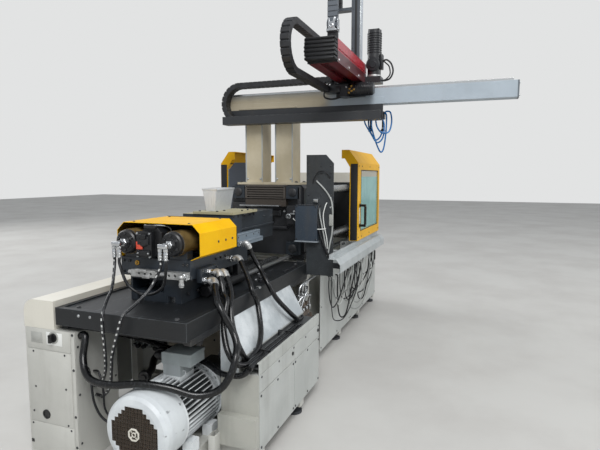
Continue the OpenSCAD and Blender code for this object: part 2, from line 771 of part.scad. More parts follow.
module barrel() machine() color("#55585c") difference() {
    union() {
        bar_x(barrel_x, barrel_x + 25, 0, axis_z, barrel_d + 50);
        bar_x(barrel_x, tip_x - 130, 0, axis_z, barrel_d);
        bar_x(tip_x - 130, tip_x - 100, 0, axis_z, barrel_d + 10);
        translate([tip_x - 100, 0, axis_z]) rotate([0, 90, 0]) cylinder(d1 = 70, d2 = 46, h = 80);
        translate([tip_x - 20, 0, axis_z]) rotate([0, 90, 0]) cylinder(d1 = 46, d2 = 22, h = 20);
    }
    bar_x(barrel_x - 1, tip_x - 60, 0, axis_z, screw_d + 2 * fit);
    bar_x(tip_x - 61, tip_x + 1, 0, axis_z, 6);
}

module heater_bands() machine() color("#8c8f93") {
    pitch = (barrel_l - 190) / band_n;
    for (i = [0 : band_n - 1]) difference() {
        union() {
            bar_x(barrel_x + 40 + i * pitch, barrel_x + 25 + (i + 1) * pitch, 0, axis_z, barrel_d + 20);
            box(barrel_x + 50 + i * pitch, barrel_x + 15 + (i + 1) * pitch, -14, 14, axis_z + barrel_d / 2,
                axis_z + barrel_d / 2 + 16);
        }
        bar_x(barrel_x + 39 + i * pitch, barrel_x + 26 + (i + 1) * pitch, 0, axis_z, barrel_d + 2 * fit);
    }
}

module feed_block() machine() color("#3b4754") difference() {
    union() {
        box(feed_x, carriage_x1, -200, 200, slab_z1, axis_z + 120);
        box(feed_x - 10, carriage_x1 + 240, -210, 110, axis_z + 120, axis_z + 138);
    }
    bar_x(feed_x - 1, carriage_x1 + 1, 0, axis_z, screw_d + 2 * fit);
    bar_z(axis_z, axis_z + 140, feed_x + feed_l / 2, 0, 50);
    for (s = [-1, 1]) for (k = [-1, 1])
        bar_z(axis_z + 100, axis_z + 140, feed_x + feed_l / 2 + s * 50, k * 70, 11);
}

// Solid that tapers from a lower to an upper rectangle, each given as two corners
module taper(low, high, z0, z1) {
    pts = [for (r = [[low, z0], [high, z1]])
        for (c = [[0, 1], [2, 1], [2, 3], [0, 3]]) [r[0][c[0]], r[0][c[1]], r[1]]];
    polyhedron(pts, [[0, 1, 2, 3], [4, 7, 6, 5], [0, 4, 5, 1], [1, 5, 6, 2], [2, 6, 7, 3], [3, 7, 4, 0]]);
}

module feed_hopper() machine() color("#aeb4ba") {
    z = axis_z + 138;
    x = feed_x + 55;
    difference() {
        taper([x, -28, x + 230, 40], [x - 5, -48, x + 255, 68], z, z + 160);
        taper([x + 3, -25, x + 227, 37], [x - 2, -45, x + 252, 65], z - 1, z + 161);
    }
}

module barrel_guard() machine() color("#34383d") {
    x1 = tip_x - 150;
    z0 = slab_z1 + 95;
    z1 = axis_z + 115;
    difference() {
        box(carriage_x1, x1, -170, 170, z0 - 100, z1);
        box(carriage_x1 - 1, x1 + 1, -167, 167, z0 - 101, z1 - 3);
    }
    box(carriage_x1, x1, -182, -170, z0, z0 + 12);
    box(feed_x - 5, carriage_x1 + 250, -226, -200, slab_z1 + 36, slab_z1 + 86);
    box(feed_x - 5, carriage_x1 + 250, -252, -200, slab_z1 + 4, slab_z1 + 36);
    box(carriage_x1, carriage_x1 + 250, -200, -170, slab_z1 + 4, slab_z1 + 86);
}

// Yellow cover

// Half of the cover's outline, from its lower flange over the chamfer to the roof
function hood_side(s, i) = let (y = hood_y - i, top = table_top + hood_h - i, c = hood_c + i * 0.4)
    [[s * slab_y, slab_z1 + i * 1.2], [s * y + hood_shift, slab_z1 + 28 + i * 0.6],
        [s * y + hood_shift, top - c + i], [s * (y - c + i) + hood_shift, top]];

module injection_cover() machine() color("gold") along_x(carriage_x + 7, carriage_x + 7 + hood_l)
    polygon(concat(hood_side(-1, 0), [for (k = [3:-1:0]) hood_side(1, 0)[k]],
        hood_side(1, sheet_t), [for (k = [3:-1:0]) hood_side(-1, sheet_t)[k]]));

module manifold_block() machine() color("silver") {
    z = slab_z0 + 4;
    for (s = [[-30, 139], [-240, -94]]) difference() {
        box(carriage_x - 43, carriage_x, s[0], s[1], z, z + 42);
        for (k = [0:2]) bar_x(carriage_x - 44, carriage_x - 33, s[0] + 30 + k * 42, z + 21, 16);
    }
    bar_x(carriage_x - 60, carriage_x - 43, -240 + 18, z + 21, 34);
    bar_z(z - 36, z + 21, carriage_x - 60, -240 + 18, 28);
    translate([carriage_x - 60, -240 + 18, z + 21]) sphere(d = 34);
}

// Drive

module motor_stator() machine() color("#c9d2d6") {
    difference() {
        union() {
            along_x(stator_x, flange_x) {
                translate([motor_y, motor_z]) circle(r = stator_r);
                for (i = [0 : rib_n - 1])
                    translate([motor_y, motor_z]) rotate((i + 0.5) * 360 / rib_n)
                        rect(stator_r - 4, cowl_r - 8, -2.2, 2.2);
            }
            bar_x(stator_x, stator_x + 14, motor_y, motor_z, 2 * cowl_r);
            bar_x(flange_x, flange_x + flange_t, motor_y, motor_z, 2 * cowl_r + 10);
            bar_x(flange_x - 40, flange_x, motor_y, motor_z, 2 * cowl_r - 26);
            for (s = [-1, 1]) for (x = [stator_x + 50, flange_x - 110])
                box(x, x + 70, motor_y + s * motor_foot_y - 32, motor_y + s * motor_foot_y + 32,
                    motor_seat, motor_seat + 70);
        }
        bar_x(stator_x + 20, flange_x - 20, motor_y, motor_z, 2 * bore_r);
        bar_x(stator_x - 1, flange_x + flange_t + 1, motor_y, motor_z, 2 * shaft_r + 2 * fit);
    }
    box(stator_x + 125, stator_x + 260, motor_y - 75, motor_y + 40, motor_z + stator_r - 10,
        motor_z + cowl_r + 60);
}

module fan_cowl() machine() color("#dfe8ec") difference() {
    translate([motor_x, motor_y, motor_z]) rotate([0, 90, 0]) rotate_extrude() polygon([
        [0, 0], [cowl_r - 46, 0], [cowl_r - 20, 7], [cowl_r - 6, 24], [cowl_r, 52], [cowl_r, cowl_l],
        [cowl_r - 4, cowl_l], [cowl_r - 4, 53], [cowl_r - 10, 27], [cowl_r - 23, 11],
        [cowl_r - 47, 4], [0, 4]]);
    for (i = [-6:6]) for (j = [-6:6]) if (i * i + j * j < 41)
        translate([motor_x - 1, motor_y + i * 22 - 9, motor_z + j * 22 - 9]) cube([6, 18, 18]);
}

module motor_rotor() machine() color("#7c8288") {
    bar_x(stator_x + 30, flange_x - 30, motor_y, motor_z, 2 * bore_r - 4);
    bar_x(motor_x + 60, bell_x + 60, motor_y, motor_z, 2 * shaft_r);
    bar_x(motor_x + 50, motor_x + 110, motor_y, motor_z, 90);
    for (a = [0:45:315]) translate([motor_x + 55, motor_y, motor_z]) rotate([a, 0, 0])
        translate([0, -2, 40]) cube([50, 4, cowl_r - 66]);
}

module terminal_box() machine() color("#aab4b6") {
    x0 = stator_x + 120;
    z0 = motor_z + cowl_r + 60;
    box(x0, x0 + 145, motor_y - 145, motor_y + 45, z0, z0 + 65);
    bar_y(motor_y + 45, motor_y + 100, x0 + 40, z0 + 32, 46);
}

module bell_housing() machine() color("#3f444a") difference() {
    translate([bell_x, motor_y, motor_z]) rotate([0, 90, 0]) rotate_extrude() polygon([
        [0, 0], [170, 0], [170, 18], [130, 30], [118, bell_l - 20], [140, bell_l - 14], [140, bell_l],
        [0, bell_l]]);
    bar_x(bell_x - 1, bell_x + bell_l + 1, motor_y, motor_z, 150);
    for (a = [60, 180, 300]) translate([bell_x + 75, motor_y, motor_z]) rotate([a, 0, 0])
        bar_z(60, 160, 0, 0, 50);
}

module hydraulic_pump() machine() color("#4d5258") {
    z = motor_z;
    bar_x(pump_x - 50, pump_x, motor_y, z, 40);
    bar_x(pump_x, pump_x + 20, motor_y, z, 240);
    along_x(pump_x + 20, pump_x + pump_l - 40) rect(motor_y - 85, motor_y + 85, z - 95, z + 95);
    bar_x(pump_x + pump_l - 40, pump_x + pump_l, motor_y, z, 150);
    bar_y(motor_y + 85, motor_y + 120, pump_x + 110, z, 90);
}

// Robot

module robot_columns() machine() color("cornsilk") {
    difference() {
        box(platen_x, column_x + column_d + 10, -300, 300, platen_z1, platen_z1 + 20);
        both() for (x = [platen_x + 14, column_x + column_d - 8])
            bar_z(platen_z1 - 1, platen_z1 + 21, x, 270, 16);
    }
    both() difference() {
        box(column_x, column_x + column_d, column_gap / 2, column_gap / 2 + column_w, platen_z1 + 20,
            beam_bottom);
        box(column_x + 8, column_x + column_d - 8, column_gap / 2 + 8, column_gap / 2 + column_w - 8,
            platen_z1 + 30, beam_bottom - 12);
        for (z = [platen_z1 + 120, beam_bottom - 240])
            box(column_x + column_d - 9, column_x + column_d + 1, column_gap / 2 + 45,
                column_gap / 2 + column_w - 45, z, z + 120);
    }
}

module robot_beam() machine() color("#c4ccd2") {
    difference() {
        box(beam_x0, beam_x1, -reach, beam_rear, beam_bottom, beam_top);
        box(beam_x0 + 8, beam_x1 - 8, -reach + 8, beam_rear - 8, beam_bottom + 8, beam_top - 8);
    }
    for (x = [beam_x0 + 12, beam_x1 - 36])
        box(x, x + 24, -reach + 40, beam_rear - 40, beam_top, beam_top + 18);
    along_y(-reach + 1010, beam_rear) polygon([[chain_x - 10, tray_z], [beam_x0, tray_z],
        [beam_x0, beam_bottom + 55], [beam_x0 - 4, beam_bottom + 55], [beam_x0 - 4, tray_z + 4],
        [chain_x - 6, tray_z + 4], [chain_x - 6, tray_z + 70], [chain_x - 10, tray_z + 70]]);
}

module traverse_carriage() machine() color("#26282b") {
    y0 = -robot_y - 120;
    y1 = -robot_y + 120;
    difference() {
        box(beam_x0 - 40, beam_x1 + 10, y0, y1, beam_top + run, beam_top + 49);
        for (x = [beam_x0 + 12, beam_x1 - 36])
            box(x - run, x + 24 + run, y0 - 1, y1 + 1, beam_top, beam_top + 18 + run);
    }
    box(beam_x0 - 40, beam_x0 - run, y0, y1, beam_bottom + 60, beam_top + 20);
    box(beam_x0 - 150, beam_x0 - 40, -robot_y - 5, -robot_y + 195, beam_top - 37, beam_top + 20);
    box(beam_x0 - 150, beam_x0 - 40, -robot_y - 5, -robot_y + 60, beam_top - 75, beam_top + 20);
    bar_y(-robot_y - 195, -robot_y - 5, beam_x0 - 95, beam_top - 18, 106);
    box(chain_x, beam_x0 - 15, chain_end_y - 40, chain_end_y, beam_top + 20,
        tray_z + 28 + 2 * chain_r + chain_t / 2);
}

module kick_arm() machine() color("#7d1420") {
    cap_l = 70;
    difference() {
        box(kick_x + cap_l, kick_x1, kick_y0, kick_y1, kick_z, kick_z1);
        for (y = [kick_y0 - 1, kick_y1 - 5]) box(kick_x + cap_l + 20, kick_x1 - 20, y, y + 6,
            kick_z + kick_h * 0.55, kick_z + kick_h * 0.55 + 8);
        box(kick_x + cap_l + 30, kick_x1 + 1, -robot_y - 30, -robot_y + 30, kick_z - 1, kick_z + 25);
    }
    along_x(kick_x, kick_x + cap_l) {
        rect(kick_y0 + 8, kick_y1 - 8, kick_z + 6, kick_z1 - 6);
        for (k = [0:4]) rect(kick_y0, kick_y1, kick_z + 10 + k * 30, kick_z + 26 + k * 30);
    }
    box(kick_x1, arm_x - run, arm_y - 30, arm_y + arm_s + 30, kick_z, kick_z1 + 20);
    box(kick_x1 - 60, kick_x1 + 60, kick_y0 - 130, kick_y0, kick_z, kick_z + 50);
    bar_z(kick_z + 50, kick_z + 50 + servo_h, kick_x1, kick_y0 - 65, 110);
    box(kick_x1 - 150, kick_x1 - 100, kick_y1 - 40, kick_y1 + 105, kick_z1, kick_z1 + 10);
    box(kick_x1 - 150, kick_x1 - 100, kick_y1 + 43, kick_y1 + 105, kick_z1 + 10,
        beam_top + 2 * loop_r - 30.3);
    box(arm_x - 108, arm_x - 60, arm_y + arm_s + 90, arm_y + arm_s + 185, kick_z1 + 10, kick_z1 + 20);
    box(arm_x - 108, arm_x - 60, arm_y + arm_s + 50, arm_y + arm_s + 185, kick_z1, kick_z1 + 10);
}

module vertical_arm() machine() color("#9aa3ab") {
    difference() {
        box(arm_x, arm_x + arm_s, arm_y, arm_y + arm_s, arm_bottom, arm_top);
        for (y = [arm_y - 1, arm_y + arm_s - 5])
            box(arm_x + 30, arm_x + 50, y, y + 6, arm_bottom + 90, arm_top - 60);
        box(arm_x + arm_s - 5, arm_x + arm_s + 1, arm_y + 30, arm_y + 50, arm_bottom + 90, arm_top - 60);
        bar_y(arm_y - 1, arm_y + arm_s + 1, arm_x + arm_s / 2, pivot_z, 30);
    }
    box(arm_x + 10, arm_x + 70, arm_y + arm_s, arm_y + arm_s + 180, arm_top - 345, arm_top - 320);
}

module wrist() machine() color("#232527") {
    x = arm_x + arm_s / 2;
    bar_y(arm_y - 40, arm_y + arm_s, x, pivot_z, 30 - 2 * fit);
    bar_y(arm_y - 60, arm_y - fit, x, pivot_z, 80);
    box(x - 35, x + 35, arm_y - 210, arm_y - 60, pivot_z - 30, pivot_z + 30);
    for (y = [arm_y - 195, arm_y - 90]) {
        bar_z(pivot_z - 110, pivot_z - 30, x, y, 16);
        translate([x, y, pivot_z - 130]) cylinder(d1 = 46, d2 = 20, h = 20);
    }
}

// A chain of flat links along straight and round stretches, drawn in a plane
module link_run(x0, x1, y) {
    n = ceil(abs(x1 - x0) / 46);
    for (i = [0 : n - 1]) translate([x0 + (x1 - x0) * (i + 0.5) / n, y])
        link(abs(x1 - x0) / n);
}

module link(l) {
    square([l + 1, chain_t - 10], center = true);
    square([l - 8, chain_t], center = true);
}

module link_bend(x, y, r, a0) {
    n = ceil(PI * r / 46);
    for (i = [0 : n - 1]) translate([x, y]) rotate(a0 + 180 * (i + 0.5) / n) translate([0, r])
        link(PI * r / n);
}

module energy_chain() machine() color("#1b1c1e") {
    z0 = tray_z + 6 + chain_t / 2;
    bend_y = beam_rear - chain_r - 10;
    translate([chain_x, 0, 0]) rotate([90, 0, 90]) linear_extrude(chain_w) {
        link_run(-reach + 1100, bend_y, z0);
        link_bend(bend_y, z0 + chain_r, chain_r, -180);
        link_run(chain_end_y + 0.8, bend_y, z0 + 2 * chain_r);
    }
}

// Links along a straight line between two points
module link_line(p, q) {
    n = ceil(norm(q - p) / 46);
    for (i = [0 : n - 1]) translate(p + (q - p) * (i + 0.5) / n)
        rotate(atan2(q[1] - p[1], q[0] - p[0])) link(norm(q - p) / n);
}

module arm_chains() machine() color("#1b1c1e") {
    y0 = kick_y1 + 43;
    z0 = beam_top - 8;
    bend_x = kick_x + 12;
    along_y(y0, y0 + 62) {
        link_line([bend_x, z0], [beam_x0 - 150.8, z0]);
        link_bend(bend_x, z0 + loop_r, loop_r, 0);
        link_line([bend_x, z0 + 2 * loop_r], [kick_x1 - 100, z0 + 2 * loop_r]);
    }
    along_y(arm_y + arm_s + 95, arm_y + arm_s + 180) {
        link_line([arm_x - 84, kick_z1 + 20.8], [arm_x - 84, arm_top - 200]);
        translate([arm_x - 22, arm_top - 200]) rotate(0) link_arc(62);
        link_line([arm_x + 40, arm_top - 200], [arm_x + 40, arm_top - 319.2]);
    }
}

// Half turn of links over the top, from the left to the right
module link_arc(r) {
    n = ceil(PI * r / 46);
    for (i = [0 : n - 1]) rotate(90 - 180 * (i + 0.5) / n) translate([0, r]) link(PI * r / n);
}

// Hoses

function lerp(a, b, t) = a * (1 - t) + b * t;
function unit(v) = v / norm(v);

// Point on a smooth curve through the hand picked points, with u from 0 to 1
function through(p, u) =
    let (n = len(p) - 1, s = min(u * n, n - 0.0001), i = floor(s), t = s - i,
        a = p[max(i - 1, 0)], b = p[i], c = p[i + 1], d = p[min(i + 2, n)])
    0.5 * (2 * b + (c - a) * t + (2 * a - 5 * b + 4 * c - d) * t * t
        + (3 * b - a - 3 * c + d) * t * t * t);

// Sideways direction of each ring, carried along so that the tube does not twist
function carry(dirs, i, side) = i >= len(dirs) ? []
    : let (s = unit(side - (side * dirs[i]) * dirs[i])) concat([s], carry(dirs, i + 1, s));

// Round tube along a curve through the points
module tube(p, d, sides = 8) {
    rings = len(p) - 1;
    c = [for (i = [0 : rings]) through(p, i / rings)];
    dirs = [for (i = [0 : rings]) i == 0 ? unit(p[1] - p[0])
        : i == rings ? unit(p[rings] - p[rings - 1]) : unit(c[i + 1] - c[i - 1])];
    side = carry(dirs, 0, [0.3, 0.9, 0.2]);
    skin = [for (i = [0 : rings]) for (k = [0 : sides - 1])
        c[i] + d / 2 * (cos(360 * k / sides) * side[i]
            + sin(360 * k / sides) * cross(dirs[i], side[i]))];
    polyhedron(skin, concat(
        [[for (k = [0 : sides - 1]) k]],
        [for (i = [0 : rings - 1]) for (k = [0 : sides - 1])
            [i * sides + k, (i + 1) * sides + k, (i + 1) * sides + (k + 1) % sides,
                i * sides + (k + 1) % sides]],
        [[for (k = [sides - 1 : -1 : 0]) rings * sides + k]]), convexity = 8);
}

side_ports = [[415, 1045], [475, 1085], [545, 1070]];
cable_route = [[40, 299.5, 760], [40, 262, 760], [0, 245, 655], [-38, 190, 582], [-62, 100, 558],
    [-60, -20, 560], [-25, -160, 574], [25, -300, 554], [80, -425, 510], [135, -530, 530],
    [170, -585, 610], [205, -596, 690], [262, -575, 742], [288, -535, 810], [270, -490, 900],
    [285, -450, 955], [350, -395, 1005], [415, -350, 1045], [415, -318.5, 1045]];
tray_route = [[475, -318.5, 1085], [475, -348, 1085], [440, -385, 1030], [414, -412, 975],
    [385, -448, 950], [345, -459, 895], [311, -468, 830], [272, -495, 765], [242, -535, 695],
    [255, -575, 636], [325, -606, 610], [420, -606, 609], [1150, -606, 609]];
loop_route = [[545, -318.5, 1070], [545, -348, 1070], [485, -420, 982], [408, -462, 911],
    [368, -486, 845], [338, -525, 755], [345, -560, 670], [390, -571, 612], [460, -571, 611],
    [550, -569, 632], [640, -543, 695], [710, -500, 780], [738, -468, 870], [705, -454, 930],
    [745, -410, 995], [812, -310, 1110], [812, -268.5, 1110]];
drop_route = [[945, -274.5, 1192], [945, -302, 1192], [988, -330, 1090], [998, -370, 1020],
    [950, -452, 930], [975, -500, 830], [1049, -546, 735], [1130, -576, 660], [1230, -571, 611],
    [1300, -571, 611]];
bay_route = [[330.5, 400, 640], [368, 400, 640], [440, 345, 634], [476, 190, 604],
    [450, 50, 592], [415, -110, 588], [375, -310, 562], [308, -435, 548], [276, -530, 556],
    [276, -598, 568], [296, -640, 604], [345, -641, 611], [1100, -641, 610]];
feed_a = [[197, 176, 1189.5], [197, 176, 1150], [120, 132, 1035], [40, 98, 985], [-28, 70, 925],
    [-40, 62, 850], [-26, 66, 740], [20, 110, 590], [80, 200, 475], [112, 262, 442],
    [112, 299.5, 442]];
feed_b = [[197, -140, 1189.5], [197, -140, 1150], [140, -110, 1040], [50, -78, 970],
    [-24, -62, 930], [-44, -50, 870], [-38, -14, 780], [-20, 26, 690], [20, 70, 590],
    [70, 130, 470], [130, 240, 372], [140, 268, 370], [140, 299.5, 370]];
loop_a = [[197, 140, 1189.5], [197, 140, 1150], [215, 110, 1040], [228, 40, 985], [228, -50, 985],
    [215, -140, 1040], [197, -176, 1150], [197, -176, 1189.5]];

module power_cable() machine() color("black") tube(cable_route, cable_d, 10);

module carriage_hoses() machine() color("black") {
    tube(tray_route, hose_d);
    tube(loop_route, hose_d);
    tube(drop_route, hose_d);
}

module cap_hoses() machine() color("black") {
    tube(feed_a, cap_hose_d);
    tube(feed_b, cap_hose_d);
    tube(loop_a, cap_hose_d);
}

module bay_hose() machine() color("black") tube(bay_route, hose_d);

bed_frame();
levelling_feet();
oil_tank();
machine_table();
left_cover();
sloped_cover();
cable_ledge();
side_panels();
switch_cabinet();
main_switch();
side_channels();
clamp_ways();
fixed_platen();
tie_bars();
tie_bar_nuts();
moving_platen();
ejector();
end_platen();
clamp_housing();
guard_plates();
front_gate();
front_window();
rear_gate();
rear_window();
valve_block();
slide_rails();
carriage_base();
carriage_cylinders();
injection_cylinders();
cylinder_caps();
port_elbows();
injection_rods();
crosshead();
screw_motor();
screw();
barrel();
heater_bands();
feed_block();
feed_hopper();
barrel_guard();
injection_cover();
manifold_block();
motor_stator();
fan_cowl();
motor_rotor();
terminal_box();
bell_housing();
hydraulic_pump();
robot_columns();
robot_beam();
traverse_carriage();
kick_arm();
vertical_arm();
wrist();
energy_chain();
arm_chains();
power_cable();
carriage_hoses();
cap_hoses();
bay_hose();
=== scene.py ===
"""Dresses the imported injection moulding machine.

The camera and the hoses come first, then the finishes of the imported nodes, then the small parts of each
sub-assembly. Sizes are in the machine's own millimetres: X from the table's near edge towards the clamp,
Y from the screw's axis towards the rear side, Z from the floor.
"""
from __future__ import annotations

import itertools
import logging
import math
import random
from dataclasses import dataclass, field
from enum import Enum
from typing import Optional, Sequence, Union

import bmesh
import bpy
from mathutils import Matrix, Vector


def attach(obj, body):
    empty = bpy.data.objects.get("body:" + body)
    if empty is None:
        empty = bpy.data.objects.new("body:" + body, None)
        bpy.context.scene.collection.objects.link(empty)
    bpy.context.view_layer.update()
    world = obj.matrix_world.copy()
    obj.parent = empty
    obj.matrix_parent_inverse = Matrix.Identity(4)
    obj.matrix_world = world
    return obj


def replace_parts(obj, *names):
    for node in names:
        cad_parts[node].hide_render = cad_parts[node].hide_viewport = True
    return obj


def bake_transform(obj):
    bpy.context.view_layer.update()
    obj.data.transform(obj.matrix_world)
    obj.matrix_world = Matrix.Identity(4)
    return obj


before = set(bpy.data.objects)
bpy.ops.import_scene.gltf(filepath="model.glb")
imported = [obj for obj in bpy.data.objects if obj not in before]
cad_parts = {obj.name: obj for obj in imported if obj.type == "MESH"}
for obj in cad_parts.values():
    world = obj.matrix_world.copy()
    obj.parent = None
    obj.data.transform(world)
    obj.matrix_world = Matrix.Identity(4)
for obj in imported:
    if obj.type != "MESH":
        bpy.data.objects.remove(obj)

Point = Sequence[float]
Span = Sequence[float]
Number = Union["Signal", float, int]

LOG = logging.getLogger("machine")
CENTRE = Vector((2112.5, -620.0, 0.0))
AXIS_Z = 1270.0
CYLINDER_Y = 158.0
NEAR, AWAY = (-1, 0, 0), (1, 0, 0)
FRONT, REAR = (0, -1, 0), (0, 1, 0)
UP, DOWN = (0, 0, 1), (0, 0, -1)


def place(point: Point) -> Vector:
    """Turns a point of the machine, in millimetres, into the part's frame, in metres."""
    return (Vector(point) - CENTRE) / 1000


def tone(code: str) -> tuple[float, float, float]:
    """Turns a colour written as #rrggbb into the linear values that a shader takes."""
    parts = [int(code[i:i + 2], 16) / 255 for i in (1, 3, 5)]
    return tuple(p / 12.92 if p <= 0.04045 else ((p + 0.055) / 1.055) ** 2.4 for p in parts)


def smooth_path(points: Sequence[Point], steps: int = 6) -> list[Vector]:
    """Runs a smooth curve through the points.

    Args:
        points: The points that the curve passes, in order.
        steps: How many short lines stand for the curve between two of them.

    Returns:
        The curve's points, with the first and the last as given.
    """
    p = [Vector(q) for q in points]
    path: list[Vector] = []
    for i in range(len(p) - 1):
        a, b, c, d = p[max(i - 1, 0)], p[i], p[i + 1], p[min(i + 2, len(p) - 1)]
        for k in range(steps):
            t = k / steps
            path.append(0.5 * (2 * b + (c - a) * t + (2 * a - 5 * b + 4 * c - d) * t * t
                               + (3 * b - a - 3 * c + d) * t * t * t))
    path.append(p[-1])
    return path


def path_length(path: Sequence[Vector]) -> float:
    """Length of a line through the points."""
    return sum((b - a).length for a, b in zip(path, path[1:]))


def grid(*places: Union[float, Sequence[float]]) -> list[tuple[float, ...]]:
    """Every point with one of the given values on each axis; a plain number counts as one value."""
    return list(itertools.product(*([p] if isinstance(p, (int, float)) else p for p in places)))


def on_side(side: int, low: float, high: float) -> tuple[float, float]:
    """The span from low to high on the front side, -1, or on the rear side, 1."""
    return (low, high) if side > 0 else (-high, -low)


class Lay(Enum):
    """Direction in which a bare metal face was ground or brushed."""

    NONE = (1.0, 1.0, 1.0)
    ALONG_X = (0.03, 1.0, 1.0)
    ALONG_Y = (1.0, 0.03, 1.0)
    ALONG_Z = (1.0, 1.0, 0.03)


# Materials


class Signal:
    """A number on its way through a material, which takes part in Python's sums."""

    def __init__(self, nodes: "Nodes", socket: bpy.types.NodeSocket) -> None:
        """Keeps the socket that gives the number."""
        self.nodes = nodes
        self.socket = socket

    def _sum(self, operation: str, first: Number, second: Number) -> "Signal":
        """Adds one Math node."""
        return self.nodes.add("ShaderNodeMath", {"operation": operation}, {0: first, 1: second})

    def __add__(self, other: Number) -> "Signal":
        """This plus the other."""
        return self._sum("ADD", self, other)

    def __radd__(self, other: Number) -> "Signal":
        """The other plus this."""
        return self._sum("ADD", other, self)

    def __sub__(self, other: Number) -> "Signal":
        """This less the other."""
        return self._sum("SUBTRACT", self, other)

    def __rsub__(self, other: Number) -> "Signal":
        """The other less this."""
        return self._sum("SUBTRACT", other, self)

    def __mul__(self, other: Number) -> "Signal":
        """This times the other."""
        return self._sum("MULTIPLY", self, other)

    def __rmul__(self, other: Number) -> "Signal":
        """The other times this."""
        return self._sum("MULTIPLY", other, self)

    def __truediv__(self, other: Number) -> "Signal":
        """This over the other."""
        return self._sum("DIVIDE", self, other)

    def __rtruediv__(self, other: Number) -> "Signal":
        """The other over this."""
        return self._sum("DIVIDE", other, self)

    def __abs__(self) -> "Signal":
        """The number without its sign."""
        return self.nodes.add("ShaderNodeMath", {"operation": "ABSOLUTE"}, {0: self})


class Nodes:
    """A tree of shader nodes, filled node by node."""

    def __init__(self, tree: bpy.types.NodeTree) -> None:
        """Starts with an empty tree."""
        self.tree = tree
        tree.nodes.clear()

    def add(self, kind: str, settings: Optional[dict] = None, values: Optional[dict] = None,
            out: Union[int, str] = 0) -> Signal:
        """Adds one node.

        Args:
            kind: The node's type.
            settings: Its own settings, set before anything else; stops are a ramp's places and colours.
            values: A number, a colour or a signal for each input, by name or number.
            out: Which output the signal comes from.

        Returns:
            The signal of that output.
        """
        node = self.tree.nodes.new(kind)
        for key, value in (settings or {}).items():
            if key == "stops":
                while len(node.color_ramp.elements) < len(value):
                    node.color_ramp.elements.new(0.5)
                for element, (at, colour) in zip(node.color_ramp.elements, value):
                    element.position = at
                    element.color = (*colour, 1.0)
            else:
                setattr(node, key, value)
        for key, value in (values or {}).items():
            socket = node.inputs[key]
            if isinstance(value, Signal):
                self.tree.links.new(value.socket, socket)
            elif socket.type == "RGBA":
                socket.default_value = (*value, 1.0)
            else:
                socket.default_value = value
        return Signal(self, node.outputs[out])

    def end(self, kind: str, shader: Signal) -> None:
        """Joins a shader to an output node of that type."""
        node = self.tree.nodes.new(kind)
        self.tree.links.new(shader.socket, node.inputs["Surface"])


class Recipe(Nodes):
    """The nodes of one material, with the words that its finish is described in."""

    def __init__(self, name: str) -> None:
        """Starts an empty material of that name."""
        self.material = bpy.data.materials.new(name)
        self.material.use_nodes = True
        super().__init__(self.material.node_tree)
        self._spot: Optional[Signal] = None
        self._axes: Optional[list[Signal]] = None
        self._rounded: Optional[Signal] = None

    @property
    def spot(self) -> Signal:
        """The place on the object, in metres."""
        if self._spot is None:
            self._spot = self.add("ShaderNodeTexCoord", out="Object")
        return self._spot

    def axis(self, index: int) -> Signal:
        """One of the machine's own measures at the place, in millimetres."""
        if self._axes is None:
            node = self.add("ShaderNodeSeparateXYZ", values={0: self.spot}).socket.node
            self._axes = [Signal(self, node.outputs[i]) * 1000 + CENTRE[i] for i in range(3)]
        return self._axes[index]

    def noise(self, scale: float, detail: float = 3, stretch: Point = (1, 1, 1)) -> Signal:
        """Cloudy noise from 0 to 1, of so many lumps a metre, drawn out along an axis of small stretch."""
        spot = self.spot
        if tuple(stretch) != (1, 1, 1):
            spot = self.add("ShaderNodeVectorMath", {"operation": "MULTIPLY"}, {0: spot, 1: stretch})
        return self.add("ShaderNodeTexNoise", None,
                        {"Vector": spot, "Scale": scale, "Detail": detail, "Roughness": 0.6})

    def band(self, value: Number, low: float, high: float, to: Span = (0, 1)) -> Signal:
        """Eases from one value to another while the signal goes from low to high."""
        return self.add("ShaderNodeMapRange", {"interpolation_type": "SMOOTHSTEP"},
                        {0: value, 1: low, 2: high, 3: to[0], 4: to[1]})

    def mix(self, first: Union[Signal, Point], second: Union[Signal, Point], share: Number) -> Signal:
        """Mixes two colours."""
        return self.add("ShaderNodeMix", {"data_type": "RGBA"}, {0: share, 6: first, 7: second}, 2)

    def rounded(self, radius: float) -> Signal:
        """The surface's normal as if its edges were rounded by that radius, in metres."""
        if self._rounded is None:
            self._rounded = self.add("ShaderNodeBevel", {"samples": 4}, {"Radius": radius})
        return self._rounded

    def edges(self, radius: float) -> Signal:
        """A mask of the edges."""
        plain = self.add("ShaderNodeNewGeometry", out="Normal")
        turned = self.add("ShaderNodeVectorMath", {"operation": "DOT_PRODUCT"},
                          {0: self.rounded(radius), 1: plain}, "Value")
        return self.band(1 - turned, 0.015, 0.22)

    def facing(self, index: int) -> Signal:
        """How far the surface faces along an axis, from -1 to 1."""
        plain = self.add("ShaderNodeNewGeometry", out="Normal")
        return self.add("ShaderNodeSeparateXYZ", values={0: plain}, out=index)

    def shade(self, values: dict) -> bpy.types.Material:
        """Ends the material in one Principled shader with these values."""
        self.end("ShaderNodeOutputMaterial", self.add("ShaderNodeBsdfPrincipled", None, values))
        return self.material


